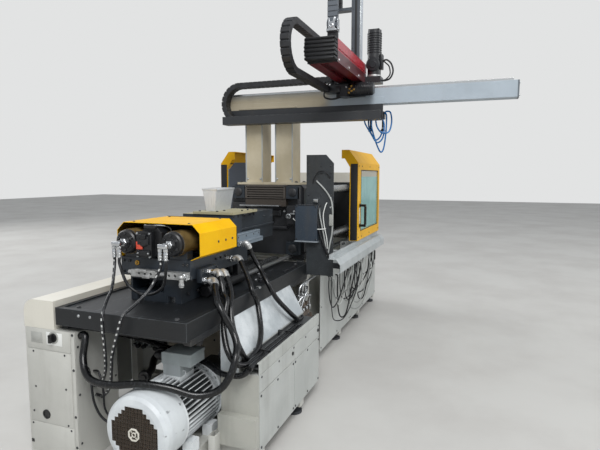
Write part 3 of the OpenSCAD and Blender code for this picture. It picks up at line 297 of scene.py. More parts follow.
@dataclass(frozen=True)
class Area:
    """A box of the machine, in millimetres, whose surface has a colour of its own."""

    colour: str
    x: Optional[Span] = None
    y: Optional[Span] = None
    z: Optional[Span] = None
    rough: Optional[float] = None
    metal: Optional[float] = None
    soft: float = 1.0
    slope: Optional[Span] = None

    def mask(self, recipe: Recipe) -> Number:
        """The share of the area's colour at each place."""
        share: Number = 1.0
        for index, span in enumerate((self.x, self.y, self.z)):
            if span is None:
                continue
            value = recipe.axis(index)
            if span[0] > -9000:
                share = share * recipe.band(value, span[0] - self.soft, span[0] + self.soft)
            if span[1] < 9000:
                share = share * (1 - recipe.band(value, span[1] - self.soft, span[1] + self.soft))
        if self.slope is not None:
            reach = abs(recipe.axis(1) - self.slope[0]) + recipe.axis(2)
            share = share * (1 - recipe.band(reach, self.slope[1] - 0.6, self.slope[1] + 0.6))
        return share


FAR = 9999.0
SHELF: dict[str, bpy.types.Material] = {}


@dataclass(frozen=True)
class Finish:
    """A finish: two tones that drift into each other, specks, grime, worn edges that are partly painted edge
    highlights, painted shade at the motor fins' roots, and a grain.
    """

    name: str
    colour: str
    drift: str
    rough: float = 0.5
    metal: float = 0.0
    patch: float = 2.5
    speck: float = 0.0
    speck_colour: str = "#d8d8d4"
    speck_scale: float = 220.0
    grime: float = 0.2
    grime_colour: str = "#544d42"
    # Edge wear: the worn colour on edges is partly real wear and partly a painted edge highlight.
    wear_and_highlight: float = 0.35
    worn_and_highlight: str = "#e6e6e2"
    edge: float = 3.0
    grain: float = 0.12
    grain_scale: float = 380.0
    lay: Lay = Lay.NONE
    coat: float = 0.0
    alpha: float = 1.0
    gloss: float = 0.5
    # Radii about the motor's axis over which painted shade fills the gaps between the fins.
    fin_root_shade: Optional[Span] = None
    areas: tuple[Area, ...] = ()
    slot: str = ""

    def material(self) -> bpy.types.Material:
        """The finish as a material, made once."""
        if self.name not in SHELF:
            SHELF[self.name] = self.make(Recipe(self.name))
        return SHELF[self.name]

    def make(self, r: Recipe) -> bpy.types.Material:
        """Builds the material's nodes.

        Args:
            r: The empty recipe that the nodes go into.

        Returns:
            The finished material.
        """
        clouds = r.noise(self.patch, 5)
        colour = r.mix(tone(self.colour), tone(self.drift), r.band(clouds, 0.36, 0.64))
        rough: Number = clouds * 0.16 + (self.rough - 0.08)
        metal: Number = self.metal
        for area in self.areas:
            share = area.mask(r)
            colour = r.mix(colour, tone(area.colour), share)
            if area.rough is not None:
                rough = rough * (1 - share) + share * area.rough
            if area.metal is not None:
                metal = share * area.metal + (1 - share) * metal
        # Painted shade: the grime colour darkens the gaps at the fins' roots.
        if self.fin_root_shade:
            y, z = r.axis(1) - DriveMotor.y, r.axis(2) - DriveMotor.z
            reach = r.add("ShaderNodeMath", {"operation": "SQRT"}, {0: y * y + z * z})
            colour = r.mix(tone(self.grime_colour), colour, r.band(reach, *self.fin_root_shade))
        streaks = r.noise(7, 4, (1, 1, 0.12))
        dirt = r.band(streaks * 0.6 + r.noise(1.3, 4) * 0.4, 0.5, 0.72) * self.grime
        colour = r.mix(colour, tone(self.grime_colour), dirt)
        rough = rough + dirt * 0.2
        fine = r.noise(self.grain_scale, 2)
        if self.lay is not Lay.NONE:
            brushed = r.noise(260, 2, self.lay.value)
            rough = rough + (brushed - 0.5) * 0.18
            colour = r.mix(colour, tone("#2a2a2a"), r.band(brushed, 0.5, 0.8) * 0.28)
            fine = fine * 0.3 + brushed
        if self.speck:
            dots = r.band(r.noise(self.speck_scale, 1), 0.66, 0.7) * self.speck
            colour = r.mix(colour, tone(self.speck_colour), dots)
        # Edges brightened partly as wear and partly as painted edge highlights.
        if self.wear_and_highlight:
            worn_and_highlight = r.edges(self.edge / 1000) * r.band(r.noise(26, 3), 0.34, 0.62) * self.wear_and_highlight
            colour = r.mix(colour, tone(self.worn_and_highlight), worn_and_highlight)
        bump = r.add("ShaderNodeBump", None, {"Strength": self.grain, "Distance": 0.0015, "Height": fine,
                                              "Normal": r.rounded(self.edge / 1000)})
        return r.shade({"Base Color": colour, "Roughness": rough, "Metallic": metal, "Normal": bump,
                        "Coat Weight": self.coat, "Coat Roughness": 0.12, "Alpha": self.alpha,
                        "Specular IOR Level": self.gloss})


@dataclass(frozen=True)
class HoseFinish(Finish):
    """Black rubber with a dull shine, dusty rings and pale scuffs, and on wrapped hoses painted highlight
    dashes for the wrap's reflections.
    """

    scuff: float = 0.25
    # Pitch in millimetres of painted highlight dashes that stand for a spiral wrap's reflections.
    glint_dashes: float = 0.0

    def make(self, r: Recipe) -> bpy.types.Material:
        """Builds the rubber, with the scuffs drawn out along the way down."""
        dust = r.band(r.noise(9, 4), 0.42, 0.75)
        colour = r.mix(tone(self.colour), tone(self.drift), dust)
        marks = r.band(r.noise(95, 2, (1, 1, 0.45)), 0.6, 0.64) * self.scuff
        colour = r.mix(colour, tone(self.speck_colour), marks)
        # Painted highlight: pale dashes on faces towards the near end, for the spiral wrap's reflections.
        if self.glint_dashes:
            step = r.add("ShaderNodeMath", {"operation": "FRACT"}, {0: r.axis(2) / self.glint_dashes})
            glint_dash = (1 - r.band(abs(step - 0.5), 0.15, 0.21)) * r.band(r.facing(0) * -1, 0.72, 0.9)
            colour = r.mix(colour, tone(self.speck_colour), glint_dash * r.band(r.noise(14, 3), 0.3, 0.42))
        weave = r.noise(520, 2)
        bump = r.add("ShaderNodeBump", None, {"Strength": self.grain, "Distance": 0.001, "Height": weave})
        return r.shade({"Base Color": colour, "Roughness": dust * 0.12 + self.rough, "Normal": bump,
                        "Specular IOR Level": 0.45})


@dataclass(frozen=True)
class TableFinish(Finish):
    """Dark painted casting, rubbed grey in long patches, with bright scratches, and bright edges that are
    partly wear and partly painted highlights.
    """

    top: Span = (903, 908)
    rubbed: str = "#3a3f44"
    scratched: str = "#7c8187"

    def make(self, r: Recipe) -> bpy.types.Material:
        """Builds the worn casting."""
        clouds = r.noise(2.2, 6)
        colour = r.mix(tone(self.colour), tone(self.drift), r.band(clouds, 0.4, 0.66))
        rubbed = r.band(r.noise(5, 6, (0.35, 1, 1)), 0.55, 0.72)
        top = r.band(r.axis(2), *self.top)
        colour = r.mix(colour, tone(self.rubbed), rubbed * top * 0.3)
        scratch = r.band(r.noise(34, 3, (0.12, 1, 1)), 0.66, 0.7) * 0.35
        colour = r.mix(colour, tone(self.scratched), scratch * top)
        # Worn edges, partly real wear and partly painted edge highlights on the rim.
        worn_and_highlight = r.edges(0.006) * r.band(r.noise(11, 4), 0.3, 0.5)
        colour = r.mix(colour, tone(self.worn_and_highlight), worn_and_highlight * self.wear_and_highlight)
        rough = 0.42 - rubbed * 0.14 + r.noise(60, 2) * 0.1
        bump = r.add("ShaderNodeBump", None, {"Strength": 0.25, "Distance": 0.002, "Height": r.noise(150, 3),
                                              "Normal": r.rounded(0.004)})
        return r.shade({"Base Color": colour, "Roughness": rough, "Metallic": worn_and_highlight * 0.6, "Normal": bump})


@dataclass(frozen=True)
class CowlFinish(Finish):
    """Pale cowl whose stepped mesh in the front face is brown with dust."""

    scuffed: str = "#6d6f70"
    dusty: str = "#4a3f33"
    squares: float = 40.5

    def make(self, r: Recipe) -> bpy.types.Material:
        """Builds the cowl's paint, scuffs and mesh."""
        clouds = r.noise(6, 5)
        colour = r.mix(tone(self.colour), tone(self.drift), r.band(clouds, 0.35, 0.65))
        scuff = r.band(r.noise(18, 6, (0.3, 1, 1)), 0.66, 0.7) * r.band(r.axis(1) * -1, 190, 300)
        colour = r.mix(colour, tone(self.scuffed), scuff * 0.7)
        i, j = (self.count(r, r.axis(1) - DriveMotor.y), self.count(r, r.axis(2) - DriveMotor.z))
        inside = 1 - r.band(i * i + j * j, self.squares - 0.1, self.squares + 0.1)
        front = 1 - r.band(r.axis(0), DriveMotor.face + 2.5, DriveMotor.face + 3.5)
        colour = r.mix(colour, tone(self.dusty), inside * front)
        bump = r.add("ShaderNodeBump", None, {"Strength": 0.1, "Distance": 0.001, "Height": r.noise(300, 2),
                                              "Normal": r.rounded(0.003)})
        return r.shade({"Base Color": colour, "Roughness": clouds * 0.2 + 0.32, "Normal": bump})

    def count(self, r: Recipe, value: Signal) -> Signal:
        """Number of the mesh's square, counted from the middle."""
        return r.add("ShaderNodeMath", {"operation": "ROUND"}, {0: value / DriveMotor.pitch})


@dataclass(frozen=True)
class PaneFinish(Finish):
    """Tinted pane with a greyish band along its top."""

    band: Span = (1648, 1654)
    band_colour: str = "#a59f88"

    def make(self, r: Recipe) -> bpy.types.Material:
        """Builds the pane."""
        band = r.band(r.axis(2), *self.band)
        haze = r.noise(5, 4)
        colour = r.mix(tone(self.colour), tone(self.drift), r.band(haze, 0.35, 0.65))
        colour = r.mix(colour, tone(self.band_colour), band)
        return r.shade({"Base Color": colour, "Roughness": haze * 0.1 + 0.08,
                        "Alpha": band * 0.15 + self.alpha, "Specular IOR Level": 0.7})


CABINET = Finish(
    "cabinet_paint", "#c0c0ba", "#b7b7b1", 0.5, speck=0.15, speck_colour="#8b8a84",
    areas=(
        Area("#b5ac9c", x=(999, 1011), y=(-400, 400), z=(125, FAR)),
        # Painted shade: dark strip on the bed frame's top edge, under the table.
        Area("#232527", x=(-10, 1810), y=(-432, 432), z=(787.4, 822)),
    ))
PANEL = Finish(
    "panel_paint", "#b5b8b5", "#abaeab", 0.5, slot="pale_paint", grime=0.28, speck=0.2,
    speck_colour="#85857f")
TANK = Finish("tank_paint", "#adada5", "#9fa099", 0.5, grime=0.4, speck=0.25, speck_colour="#7a7870")
COVER = Finish("cover_paint", "#d6d3c8", "#cdcabf", 0.46, grime=0.12, speck=0.08, speck_colour="#9a978c")
WHITE = Finish(
    "white_paint", "#cfd4d6", "#a7aeb1", 0.38, patch=4.5, grime=0.5, grime_colour="#8d9193", speck=0.35,
    speck_colour="#8a8e90", speck_scale=120)
LEDGE = Finish(
    "ledge_paint", "#b3b6b2", "#a3a6a2", 0.5, slot="pale_paint", grime=0.45, speck=0.4,
    # Painted shade: the tray's hollow under the hoses darker.
    speck_colour="#4c4d4c", speck_scale=150, areas=(Area("#4b4d4e", y=(-671, -547), z=(580, 612)),))
CHANNEL = Finish(
    "channel_paint", "#b0b5b6", "#a0a6a7", 0.42, grime=0.3, speck=0.2, speck_colour="#6f7375",
    areas=(Area("#2b2d30", z=(-FAR, 900)),))
HOOD = Finish(
    "hood_paint", "#f0ba06", "#e9b004", 0.42, slot="yellow_paint", patch=4, grime=0.1, grime_colour="#8a6410",
    wear_and_highlight=0.6, worn_and_highlight="#fbe36c", edge=2.5, gloss=0.15,
    areas=(
        # Painted shade: darker brown on the cover's inside faces, where shade falls.
        Area("#57430f", x=(341, 779), y=(-304.4, 272.4), z=(1199, 1379.2), soft=0.6, slope=(-16, 1619.6)),
    ))
GATE = Finish(
    "gate_paint", "#ebb312", "#e3ab0e", 0.42, slot="yellow_paint", patch=3, grime=0.12,
    grime_colour="#7d5a10", wear_and_highlight=0.6, worn_and_highlight="#f1c34a", gloss=0.2,
    areas=(
        Area("#17181a", y=(-FAR, -721)),
        Area("#17181a", y=(721, FAR)),
        # Painted shade: darker brown on the gate's inner faces.
        Area("#5a4716", x=(2407, 3393), y=(-713, 713), z=(1060, 1893), slope=(0, 2495)),
    ))
DARK = Finish(
    "dark_paint", "#272e36", "#1f252b", 0.36, patch=4, grime=0.35, grime_colour="#16171a", wear_and_highlight=0.5,
    worn_and_highlight="#6d757c", speck=0.15, speck_colour="#626a70")
FEED = Finish(
    "feed_paint", "#2b333c", "#232a31", 0.42, slot="dark_paint", patch=4, wear_and_highlight=0.5, worn_and_highlight="#6d757c",
    areas=(Area("#a39d7f", z=(1389, FAR), rough=0.5),))
GUARD = Finish(
    "guard_paint", "#2f353b", "#262b30", 0.42, slot="dark_paint", patch=4, wear_and_highlight=0.6, worn_and_highlight="#8a9197",
    areas=(Area("#76828c", y=(-FAR, -198), rough=0.4),))
PLATEN = Finish(
    "platen_paint", "#25272b", "#1c1e21", 0.45, patch=5, grime=0.5, grime_colour="#3b3128", wear_and_highlight=0.6,
    worn_and_highlight="#71706c", speck=0.25, speck_colour="#6c655c",
    areas=(
        Area("#4a443e", x=(1899, 1961), y=(-196, 196), z=(1459, 1578), rough=0.5),
        Area("#3c352e", x=(1905, 1961), y=(-197, 197), z=(1388, 1457)),
        Area("#c0c2c2", x=(900, 1959), y=(-260, 260), z=(900, 985), metal=0.9, rough=0.3),
    ))
SLATE = Finish(
    "slate_paint", "#33373a", "#2b2f32", 0.5, patch=9, grime=0.4, wear_and_highlight=0.5, worn_and_highlight="#8e9194", speck=0.6,
    speck_colour="#65686b", speck_scale=160,
    areas=(
        Area("#323c47", x=(1700, 1786), y=(-541, -349), z=(1123, FAR), rough=0.45),
        Area("#8b939a", x=(1700, 1786.5), z=(1105, 1122), rough=0.4),
        Area("#444a54", x=(2300, 2400)),
    ))
TAN = Finish(
    "tan_paint", "#7d6840", "#4a3a20", 0.32, patch=9, grime=0.55, grime_colour="#1d1813", wear_and_highlight=0.3,
    # Painted shade: the cylinders darker past x 470, under the cover.
    worn_and_highlight="#c9b078", coat=0.3, areas=(Area("#4a3820", x=(470, FAR), soft=90),))
BLACK = Finish(
    "black_paint", "#151618", "#1d1e21", 0.36, patch=14, grime=0.3, grime_colour="#2f2b26", wear_and_highlight=0.4,
    worn_and_highlight="#5b5d60", speck=0.15, speck_colour="#4a4a4a")
SERVO = Finish(
    "servo_black", "#131417", "#1b1c20", 0.3, patch=12, grime_colour="#2c2c2e", wear_and_highlight=0.5, worn_and_highlight="#44484e")
CHAIN = Finish(
    "chain_plastic", "#26272a", "#1b1c1e", 0.5, slot="black_plastic", patch=18, grime=0.3,
    grime_colour="#3c3a36", wear_and_highlight=0.8, worn_and_highlight="#4c5055", edge=4,
    areas=(
        # Painted highlight: the upper chain's dark links and their glints painted as one mid grey, with lower
        # roughness.
        Area("#5f656c", x=(1990, 2095), y=(-640, -500), z=(2900, FAR), rough=0.35),
    ))
KNOB = Finish("knob_plastic", "#141416", "#1a1a1c", 0.35, slot="black_plastic", wear_and_highlight=0.4, worn_and_highlight="#3e4145")
MOTOR = Finish(
    "motor_paint", "#eaeef0", "#dadfe1", 0.42, patch=8, grime=0.35, grime_colour="#2f3233", wear_and_highlight=0.4,
    # Painted shade in the gaps at the fins' roots, out to radius 189.
    worn_and_highlight="#f2f5f6", speck=0.3, speck_colour="#5c6265", fin_root_shade=(167, 189),
    areas=(Area("#a7aeb0", z=(534, FAR)),))
TERMINAL = Finish(
    "box_paint", "#a9b1b2", "#9aa3a4", 0.45, grime=0.3, speck=0.2, speck_colour="#5f6667",
    areas=(Area("#18191b", y=(-129, FAR)),))
COWL = CowlFinish("cowl_paint", "#cfd4d6", "#c0c5c8")
PUMP = Finish("pump_paint", "#45494e", "#383c40", 0.45, grime=0.5, wear_and_highlight=0.5, worn_and_highlight="#7c8084")
VALVES = Finish(
    "valve_paint", "#5a4a3c", "#43382e", 0.45, patch=12, grime=0.6, grime_colour="#1e1a16", wear_and_highlight=0.6,
    worn_and_highlight="#a59c8f", areas=(Area("#a8aaa8", z=(640, FAR), metal=0.8, rough=0.35),))
RED = Finish(
    "red_paint", "#16171a", "#1b1c1f", 0.4, wear_and_highlight=0.5, worn_and_highlight="#4d4f53",
    areas=(
        Area("#b0202f", x=(1191, 2059.5), y=(-861, -649), z=(2419, 2575), rough=0.24),
        # Painted shade: the red arm's lower part darker.
        Area("#4f0d15", x=(1191, 2059.5), y=(-861, -649), z=(2419, 2497), rough=0.34),
        # Painted highlight: pinkish glare along the top of the red arm's near part.
        Area("#b4727a", x=(1191, 1500), y=(-861, -649), z=(2574, 2575.5), rough=0.2, soft=90),
    ), coat=0.4)
CREAM = Finish(
    "cream_paint", "#c2b8a0", "#b3a88e", 0.45, patch=3, grime_colour="#7d735c", speck=0.15,
    speck_colour="#8d8266")
BEAM = Finish(
    "beam_paint", "#a9b4bd", "#9faab3", 0.42, patch=3, grime=0.25, speck=0.15, speck_colour="#5e6468",
    areas=(
        Area("#a39a85", y=(-560, FAR), z=(2200, 2371), soft=60),
        Area("#5e666d", y=(-FAR, -2018)),
        Area("#d2d4d4", z=(2371.5, FAR), metal=0.9, rough=0.25),
        Area("#2d2f32", z=(-FAR, 2244)),
    ))
GROUND = Finish(
    "ground_steel", "#b9bbbc", "#a5a7a9", 0.28, 0.95, lay=Lay.ALONG_X, grime=0.3, grime_colour="#3b3733",
    wear_and_highlight=0.2)
BARREL = Finish(
    "barrel_steel", "#6b6b6d", "#5a554f", 0.4, 0.9, patch=9, grime=0.5, grime_colour="#3a2f26", wear_and_highlight=0.2)
BANDS = Finish(
    "band_steel", "#a2a3a4", "#8b8784", 0.35, 0.9, patch=9, grime=0.4, grime_colour="#4a4037", wear_and_highlight=0.3)
HOPPER = Finish("hopper_steel", "#e0e3e5", "#cfd2d5", 0.36, 0.45, lay=Lay.ALONG_Z, grime=0.15)
CHROME = Finish(
    "chromed", "#d7d9da", "#c3c6c9", 0.2, 0.95, patch=20, grime=0.35, grime_colour="#4a4a4a", wear_and_highlight=0.2)
MILLED = Finish(
    "milled_aluminium", "#cfd0cf", "#b6b7b6", 0.38, 0.75, patch=20, lay=Lay.ALONG_Y, grime=0.35,
    grime_colour="#55524c", wear_and_highlight=0.5)
ARM = Finish(
    "arm_aluminium", "#5d6268", "#4f545a", 0.34, 0.35, patch=3, lay=Lay.ALONG_Z, grime=0.1, wear_and_highlight=0.9,
    worn_and_highlight="#d3d8dc", areas=(Area("#ccd2d7", y=(-FAR, -783), metal=0.6, rough=0.3),))
FOOT = Finish("foot_iron", "#45474a", "#34363a", 0.6, 0.3, grime=0.5, wear_and_highlight=0.5, worn_and_highlight="#7e8083")
BRASS = Finish("brass_fitting", "#c79a43", "#a87d30", 0.3, 0.9, slot="chromed", patch=20, grime=0.3)
BRIGHT = Finish("bright_screws", "#c9cccd", "#aeb1b3", 0.28, 0.95, slot="chromed", patch=30, grime=0.3)
DULL = Finish("dull_screws", "#3a3c40", "#2b2d30", 0.4, 0.5, slot="black_paint", patch=30, grime=0.3)
END_CAP = HoseFinish(
    "end_cap_plastic", "#0a0b0d", "#121316", 0.4, slot="black_plastic", grain=0.1, speck_colour="#2b2d30",
    scuff=0.2)
MESH = Finish("mesh_wire", "#4d4135", "#3c3228", 0.6, 0.1, slot="black_paint", grime=0.4, wear_and_highlight=0.0)
# Painted shade: near-black discs that stand for the shade inside hollows.
HOLLOW_SHADE = Finish("painted_hollow_shade", "#0f0e0d", "#171513", 0.8, slot="black_paint", wear_and_highlight=0.0, grime=0.1)
TAG = Finish("coral_tag", "#d8523c", "#c84733", 0.45, slot="black_paint", wear_and_highlight=0.3, worn_and_highlight="#ee8a74")
PALE_PLATE = Finish("pale_plate", "#e3e4e1", "#d9dad6", 0.4, slot="pale_paint", grime=0.1, wear_and_highlight=0.2)
GREY_PLATE = Finish("grey_plate", "#a9aaa5", "#9fa09b", 0.45, slot="pale_paint", wear_and_highlight=0.3)
SEAL = Finish("rubber_seal", "#121315", "#1a1b1d", 0.6, slot="hose_rubber", wear_and_highlight=0.2, worn_and_highlight="#3a3c3f")
DIAL = Finish("dial_face", "#e8e9e9", "#dcdddd", 0.3, slot="pale_paint", grime=0.05, wear_and_highlight=0.2)
HOSE = HoseFinish("hose_rubber", "#0a0b0c", "#131416", 0.22, grain=0.2, speck_colour="#5e6266", scuff=0.15)
# Its pale dashes are painted highlights of the spiral wrap.
CAP_HOSE = HoseFinish(
    "cap_hose_rubber", "#17181b", "#2c2e31", 0.3, slot="hose_rubber", grain=0.2, speck_colour="#c3c5c3",
    scuff=0.2, glint_dashes=34.0)
WIRE_GREY = HoseFinish("grey_wire", "#a3a6a4", "#8e908d", 0.4, slot="hose_rubber", speck_colour="#d0d2d0")
WIRE_BLACK = HoseFinish("black_wire", "#131416", "#232427", 0.36, slot="hose_rubber", speck_colour="#6a6d70")
WIRE_WHITE = HoseFinish("white_wire", "#d9dbd8", "#bfc1be", 0.4, slot="hose_rubber", speck_colour="#f0f0ee")
AIR_BLUE = HoseFinish("blue_air_line", "#1b74b8", "#155690", 0.3, slot="hose_rubber", speck_colour="#4fa3d4")
PANE = PaneFinish("clear_pane", "#86c0b9", "#78b0ab", alpha=0.9)

NODE_FINISHES: dict[str, Finish] = {
    "bed_frame": CABINET, "levelling_feet": FOOT, "oil_tank": TANK,
    "machine_table": TableFinish("table_iron", "#14171a", "#0e1012", wear_and_highlight=0.55, worn_and_highlight="#8f959a"),
    "left_cover": COVER, "sloped_cover": WHITE, "cable_ledge": LEDGE, "side_panels": PANEL,
    "switch_cabinet": CABINET, "main_switch": KNOB, "side_channels": CHANNEL, "clamp_ways": GROUND,
    "fixed_platen": PLATEN, "tie_bars": GROUND, "tie_bar_nuts": DARK, "moving_platen": PLATEN,
    "ejector": GROUND, "end_platen": PLATEN, "clamp_housing": COVER, "guard_plates": SLATE,
    "front_gate": GATE, "front_window": PANE, "rear_gate": GATE, "rear_window": PANE,
    "valve_block": VALVES, "slide_rails": GROUND, "carriage_base": DARK, "carriage_cylinders": BLACK,
    "injection_cylinders": TAN, "cylinder_caps": BLACK, "injection_rods": CHROME, "crosshead": DARK,
    "screw_motor": BLACK, "screw": GROUND, "barrel": BARREL, "heater_bands": BANDS,
    "feed_block": FEED, "feed_hopper": HOPPER, "barrel_guard": GUARD, "injection_cover": HOOD,
    "manifold_block": MILLED, "motor_stator": MOTOR, "fan_cowl": COWL, "motor_rotor": BARREL,
    "terminal_box": TERMINAL, "bell_housing": PUMP, "hydraulic_pump": PUMP, "robot_columns": CREAM,
    "robot_beam": BEAM, "traverse_carriage": SERVO, "kick_arm": RED, "vertical_arm": ARM,
    "wrist": SERVO, "energy_chain": CHAIN, "arm_chains": CHAIN,
}


def dress_nodes() -> None:
    """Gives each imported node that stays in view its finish."""
    for name, finish in NODE_FINISHES.items():
        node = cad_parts[name]
        if not node.material_slots:
            node.data.materials.append(finish.material())
        for slot in node.material_slots:
            slot.material = finish.material()
    LOG.info("dressed %d packed nodes", len(NODE_FINISHES))


# Shapes


class Shape:
    """Solids in the machine's millimetres that become one piece."""

    def __init__(self, finish: Finish) -> None:
        """Starts with nothing, in one finish."""
        self.mesh = bmesh.new()
        self.finishes = [finish]
        self.index = 0

    def use(self, finish: Finish) -> "Shape":
        """Gives what follows another finish."""
        if finish not in self.finishes:
            self.finishes.append(finish)
        self.index = self.finishes.index(finish)
        return self

    def faces(self, rings: Sequence[Sequence[bmesh.types.BMVert]], closed: bool = True) -> None:
        """Joins rings of points by faces and closes both ends."""
        made = []
        for low, high in zip(rings, rings[1:]):
            n = max(len(low), len(high))
            for k in range(n):
                j = (k + 1) % n
                corners = [low[k % len(low)], low[j % len(low)], high[j % len(high)], high[k % len(high)]]
                corners = [c for i, c in enumerate(corners) if c not in corners[:i]]
                if len(corners) > 2:
                    made.append(self.mesh.faces.new(corners))
        if closed and len(rings[0]) > 2:
            made.append(self.mesh.faces.new(list(reversed(rings[0]))))
        if closed and len(rings[-1]) > 2:
            made.append(self.mesh.faces.new(rings[-1]))
        for face in made:
            face.material_index = self.index

    def soften(self, rings: Sequence[Sequence[bmesh.types.BMVert]], soft: float) -> "Shape":
        """Rounds the edges of the solid that the rings belong to."""
        if soft:
            edges = {e for ring in rings for v in ring for e in v.link_edges}
            bmesh.ops.bevel(self.mesh, geom=list(edges), offset=soft, segments=2, profile=0.5,
                            affect="EDGES", clamp_overlap=True, material=self.index)
        return self

    def box(self, x: Span, y: Span, z: Span, soft: float = 2.0) -> "Shape":
        """Adds a box with rounded edges."""
        rings = [[self.mesh.verts.new((a, b, c)) for a, b in ((x[0], y[0]), (x[1], y[0]), (x[1], y[1]),
                                                              (x[0], y[1]))] for c in z]
        self.faces(rings)
        return self.soften(rings, soft)

    def lathe(self, foot: Point, axis: Point, profile: Sequence[Span], sides: int = 24,
              turn: float = 0.0) -> "Shape":
        """Turns a profile about an axis.

        Args:
            foot: The point that heights are measured from.
            axis: Direction of the axis.
            profile: Pairs of radius and height.
            sides: How many flats stand for the round.
            turn: Where the first flat starts, in degrees.

        Returns:
            The shape itself.
        """
        w = Vector(axis).normalized()
        u = (Vector((0, 0, 1)) if abs(w.z) < 0.9 else Vector((1, 0, 0))).cross(w).normalized()
        v = w.cross(u)
        rings = []
        for radius, height in profile:
            centre = Vector(foot) + w * height
            if radius < 1e-6:
                rings.append([self.mesh.verts.new(centre)])
                continue
            angles = [2 * math.pi * k / sides + math.radians(turn) for k in range(sides)]
            rings.append([self.mesh.verts.new(centre + radius * (math.cos(a) * u + math.sin(a) * v))
                          for a in angles])
        self.faces(rings)
        return self

    def stud(self, foot: Point, axis: Point, edge: Span, top: Span, sides: int) -> "Shape":
        """Adds a round stud, given by radius and height of its edge and of its bevelled top."""
        return self.lathe(foot, axis, [(edge[0], 0), edge, top, (0, top[1])], sides)

    def tube(self, points: Sequence[Point], d: float, sides: int = 12, steps: int = 6) -> "Shape":
        """Runs a round tube along a smooth curve through the points."""
        path = smooth_path(points, steps)
        ways = [(path[min(i + 1, len(path) - 1)] - path[max(i - 1, 0)]).normalized()
                for i in range(len(path))]
        side = Vector((0.3, 0.9, 0.2))
        rings = []
        for centre, way in zip(path, ways):
            side = (side - side.dot(way) * way).normalized()
            up = way.cross(side)
            rings.append([self.mesh.verts.new(centre + d / 2 * (math.cos(a) * side + math.sin(a) * up))
                          for a in (2 * math.pi * k / sides for k in range(sides))])
        self.faces(rings)
        return self

    def prism(self, outline: Sequence[Span], axis: str, span: Span, soft: float = 0.0) -> "Shape":
        """Runs an outline along an axis; the outline is in the other two axes, in order."""
        def corner(a: float, b: float, c: float) -> Vector:
            """Point of the outline at one end."""
            return Vector({"x": (c, a, b), "y": (a, c, b), "z": (a, b, c)}[axis])
        rings = [[self.mesh.verts.new(corner(a, b, c)) for a, b in outline] for c in span]
        self.faces(rings)
        return self.soften(rings, soft)

    def torus(self, centre: Point, axis: Point, radius: float, d: float, arc: float = 360.0) -> "Shape":
        """Adds a ring of round wire."""
        w = Vector(axis).normalized()
        u = w.orthogonal().normalized()
        v = w.cross(u)
        n = 28
        path = [Vector(centre) + radius * (math.cos(a) * u + math.sin(a) * v)
                for a in (math.radians(arc) * k / n for k in range(n + 1))]
        return self.tube(path, d, 10, 1)

    def socket_screws(self, points: Sequence[Point], axis: Point, d: float) -> "Shape":
        """Adds socket head screws that stand on their points."""
        for p in points:
            self.lathe(p, axis, [(d * 0.8, 0), (d * 0.8, d * 0.75), (d * 0.68, d * 0.88),
                                 (d * 0.42, d * 0.88), (d * 0.36, d * 0.4), (0, d * 0.4)], 14)
        return self

    def hex_screws(self, points: Sequence[Point], axis: Point, d: float) -> "Shape":
        """Adds hexagon screws with washers."""
        for p in points:
            self.lathe(p, axis, [(d * 1.15, 0), (d * 1.15, d * 0.15), (d * 0.9, d * 0.16)], 18)
            self.lathe(p, axis, [(d * 0.95, d * 0.12), (d * 0.95, d * 0.62), (d * 0.75, d * 0.75),
                                 (0, d * 0.75)], 6, 11)
        return self

    def pan_screws(self, points: Sequence[Point], axis: Point, d: float) -> "Shape":
        """Adds low round heads."""
        for p in points:
            self.lathe(p, axis, [(d * 0.9, -0.4), (d * 0.85, d * 0.25), (d * 0.55, d * 0.45),
                                 (d * 0.15, d * 0.5), (0, d * 0.3)], 12)
        return self

    def piece(self, name: str, body: Optional[str] = "machine", crease: float = 38.0) -> bpy.types.Object:
        """Ends the shape.

        Args:
            name: The piece's name.
            body: The body that it rides on, or none, which leaves it on no body.
            crease: Edges sharper than this many degrees stay sharp.

        Returns:
            The piece.
        """
        bmesh.ops.recalc_face_normals(self.mesh, faces=self.mesh.faces)
        for vert in self.mesh.verts:
            vert.co = place(vert.co)
        data = bpy.data.meshes.new(name)
        self.mesh.to_mesh(data)
        self.mesh.free()
        for finish in self.finishes:
            data.materials.append(finish.material())
        data.polygons.foreach_set("use_smooth", [True] * len(data.polygons))
        data.set_sharp_from_angle(angle=math.radians(crease))
        obj = bpy.data.objects.new(name, data)
        bpy.context.scene.collection.objects.link(obj)
        if body:
            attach(obj, body)
        LOG.info("%s: %d faces on %s", name, len(data.polygons), body or "two bodies")
        return obj


# Camera, floor and light


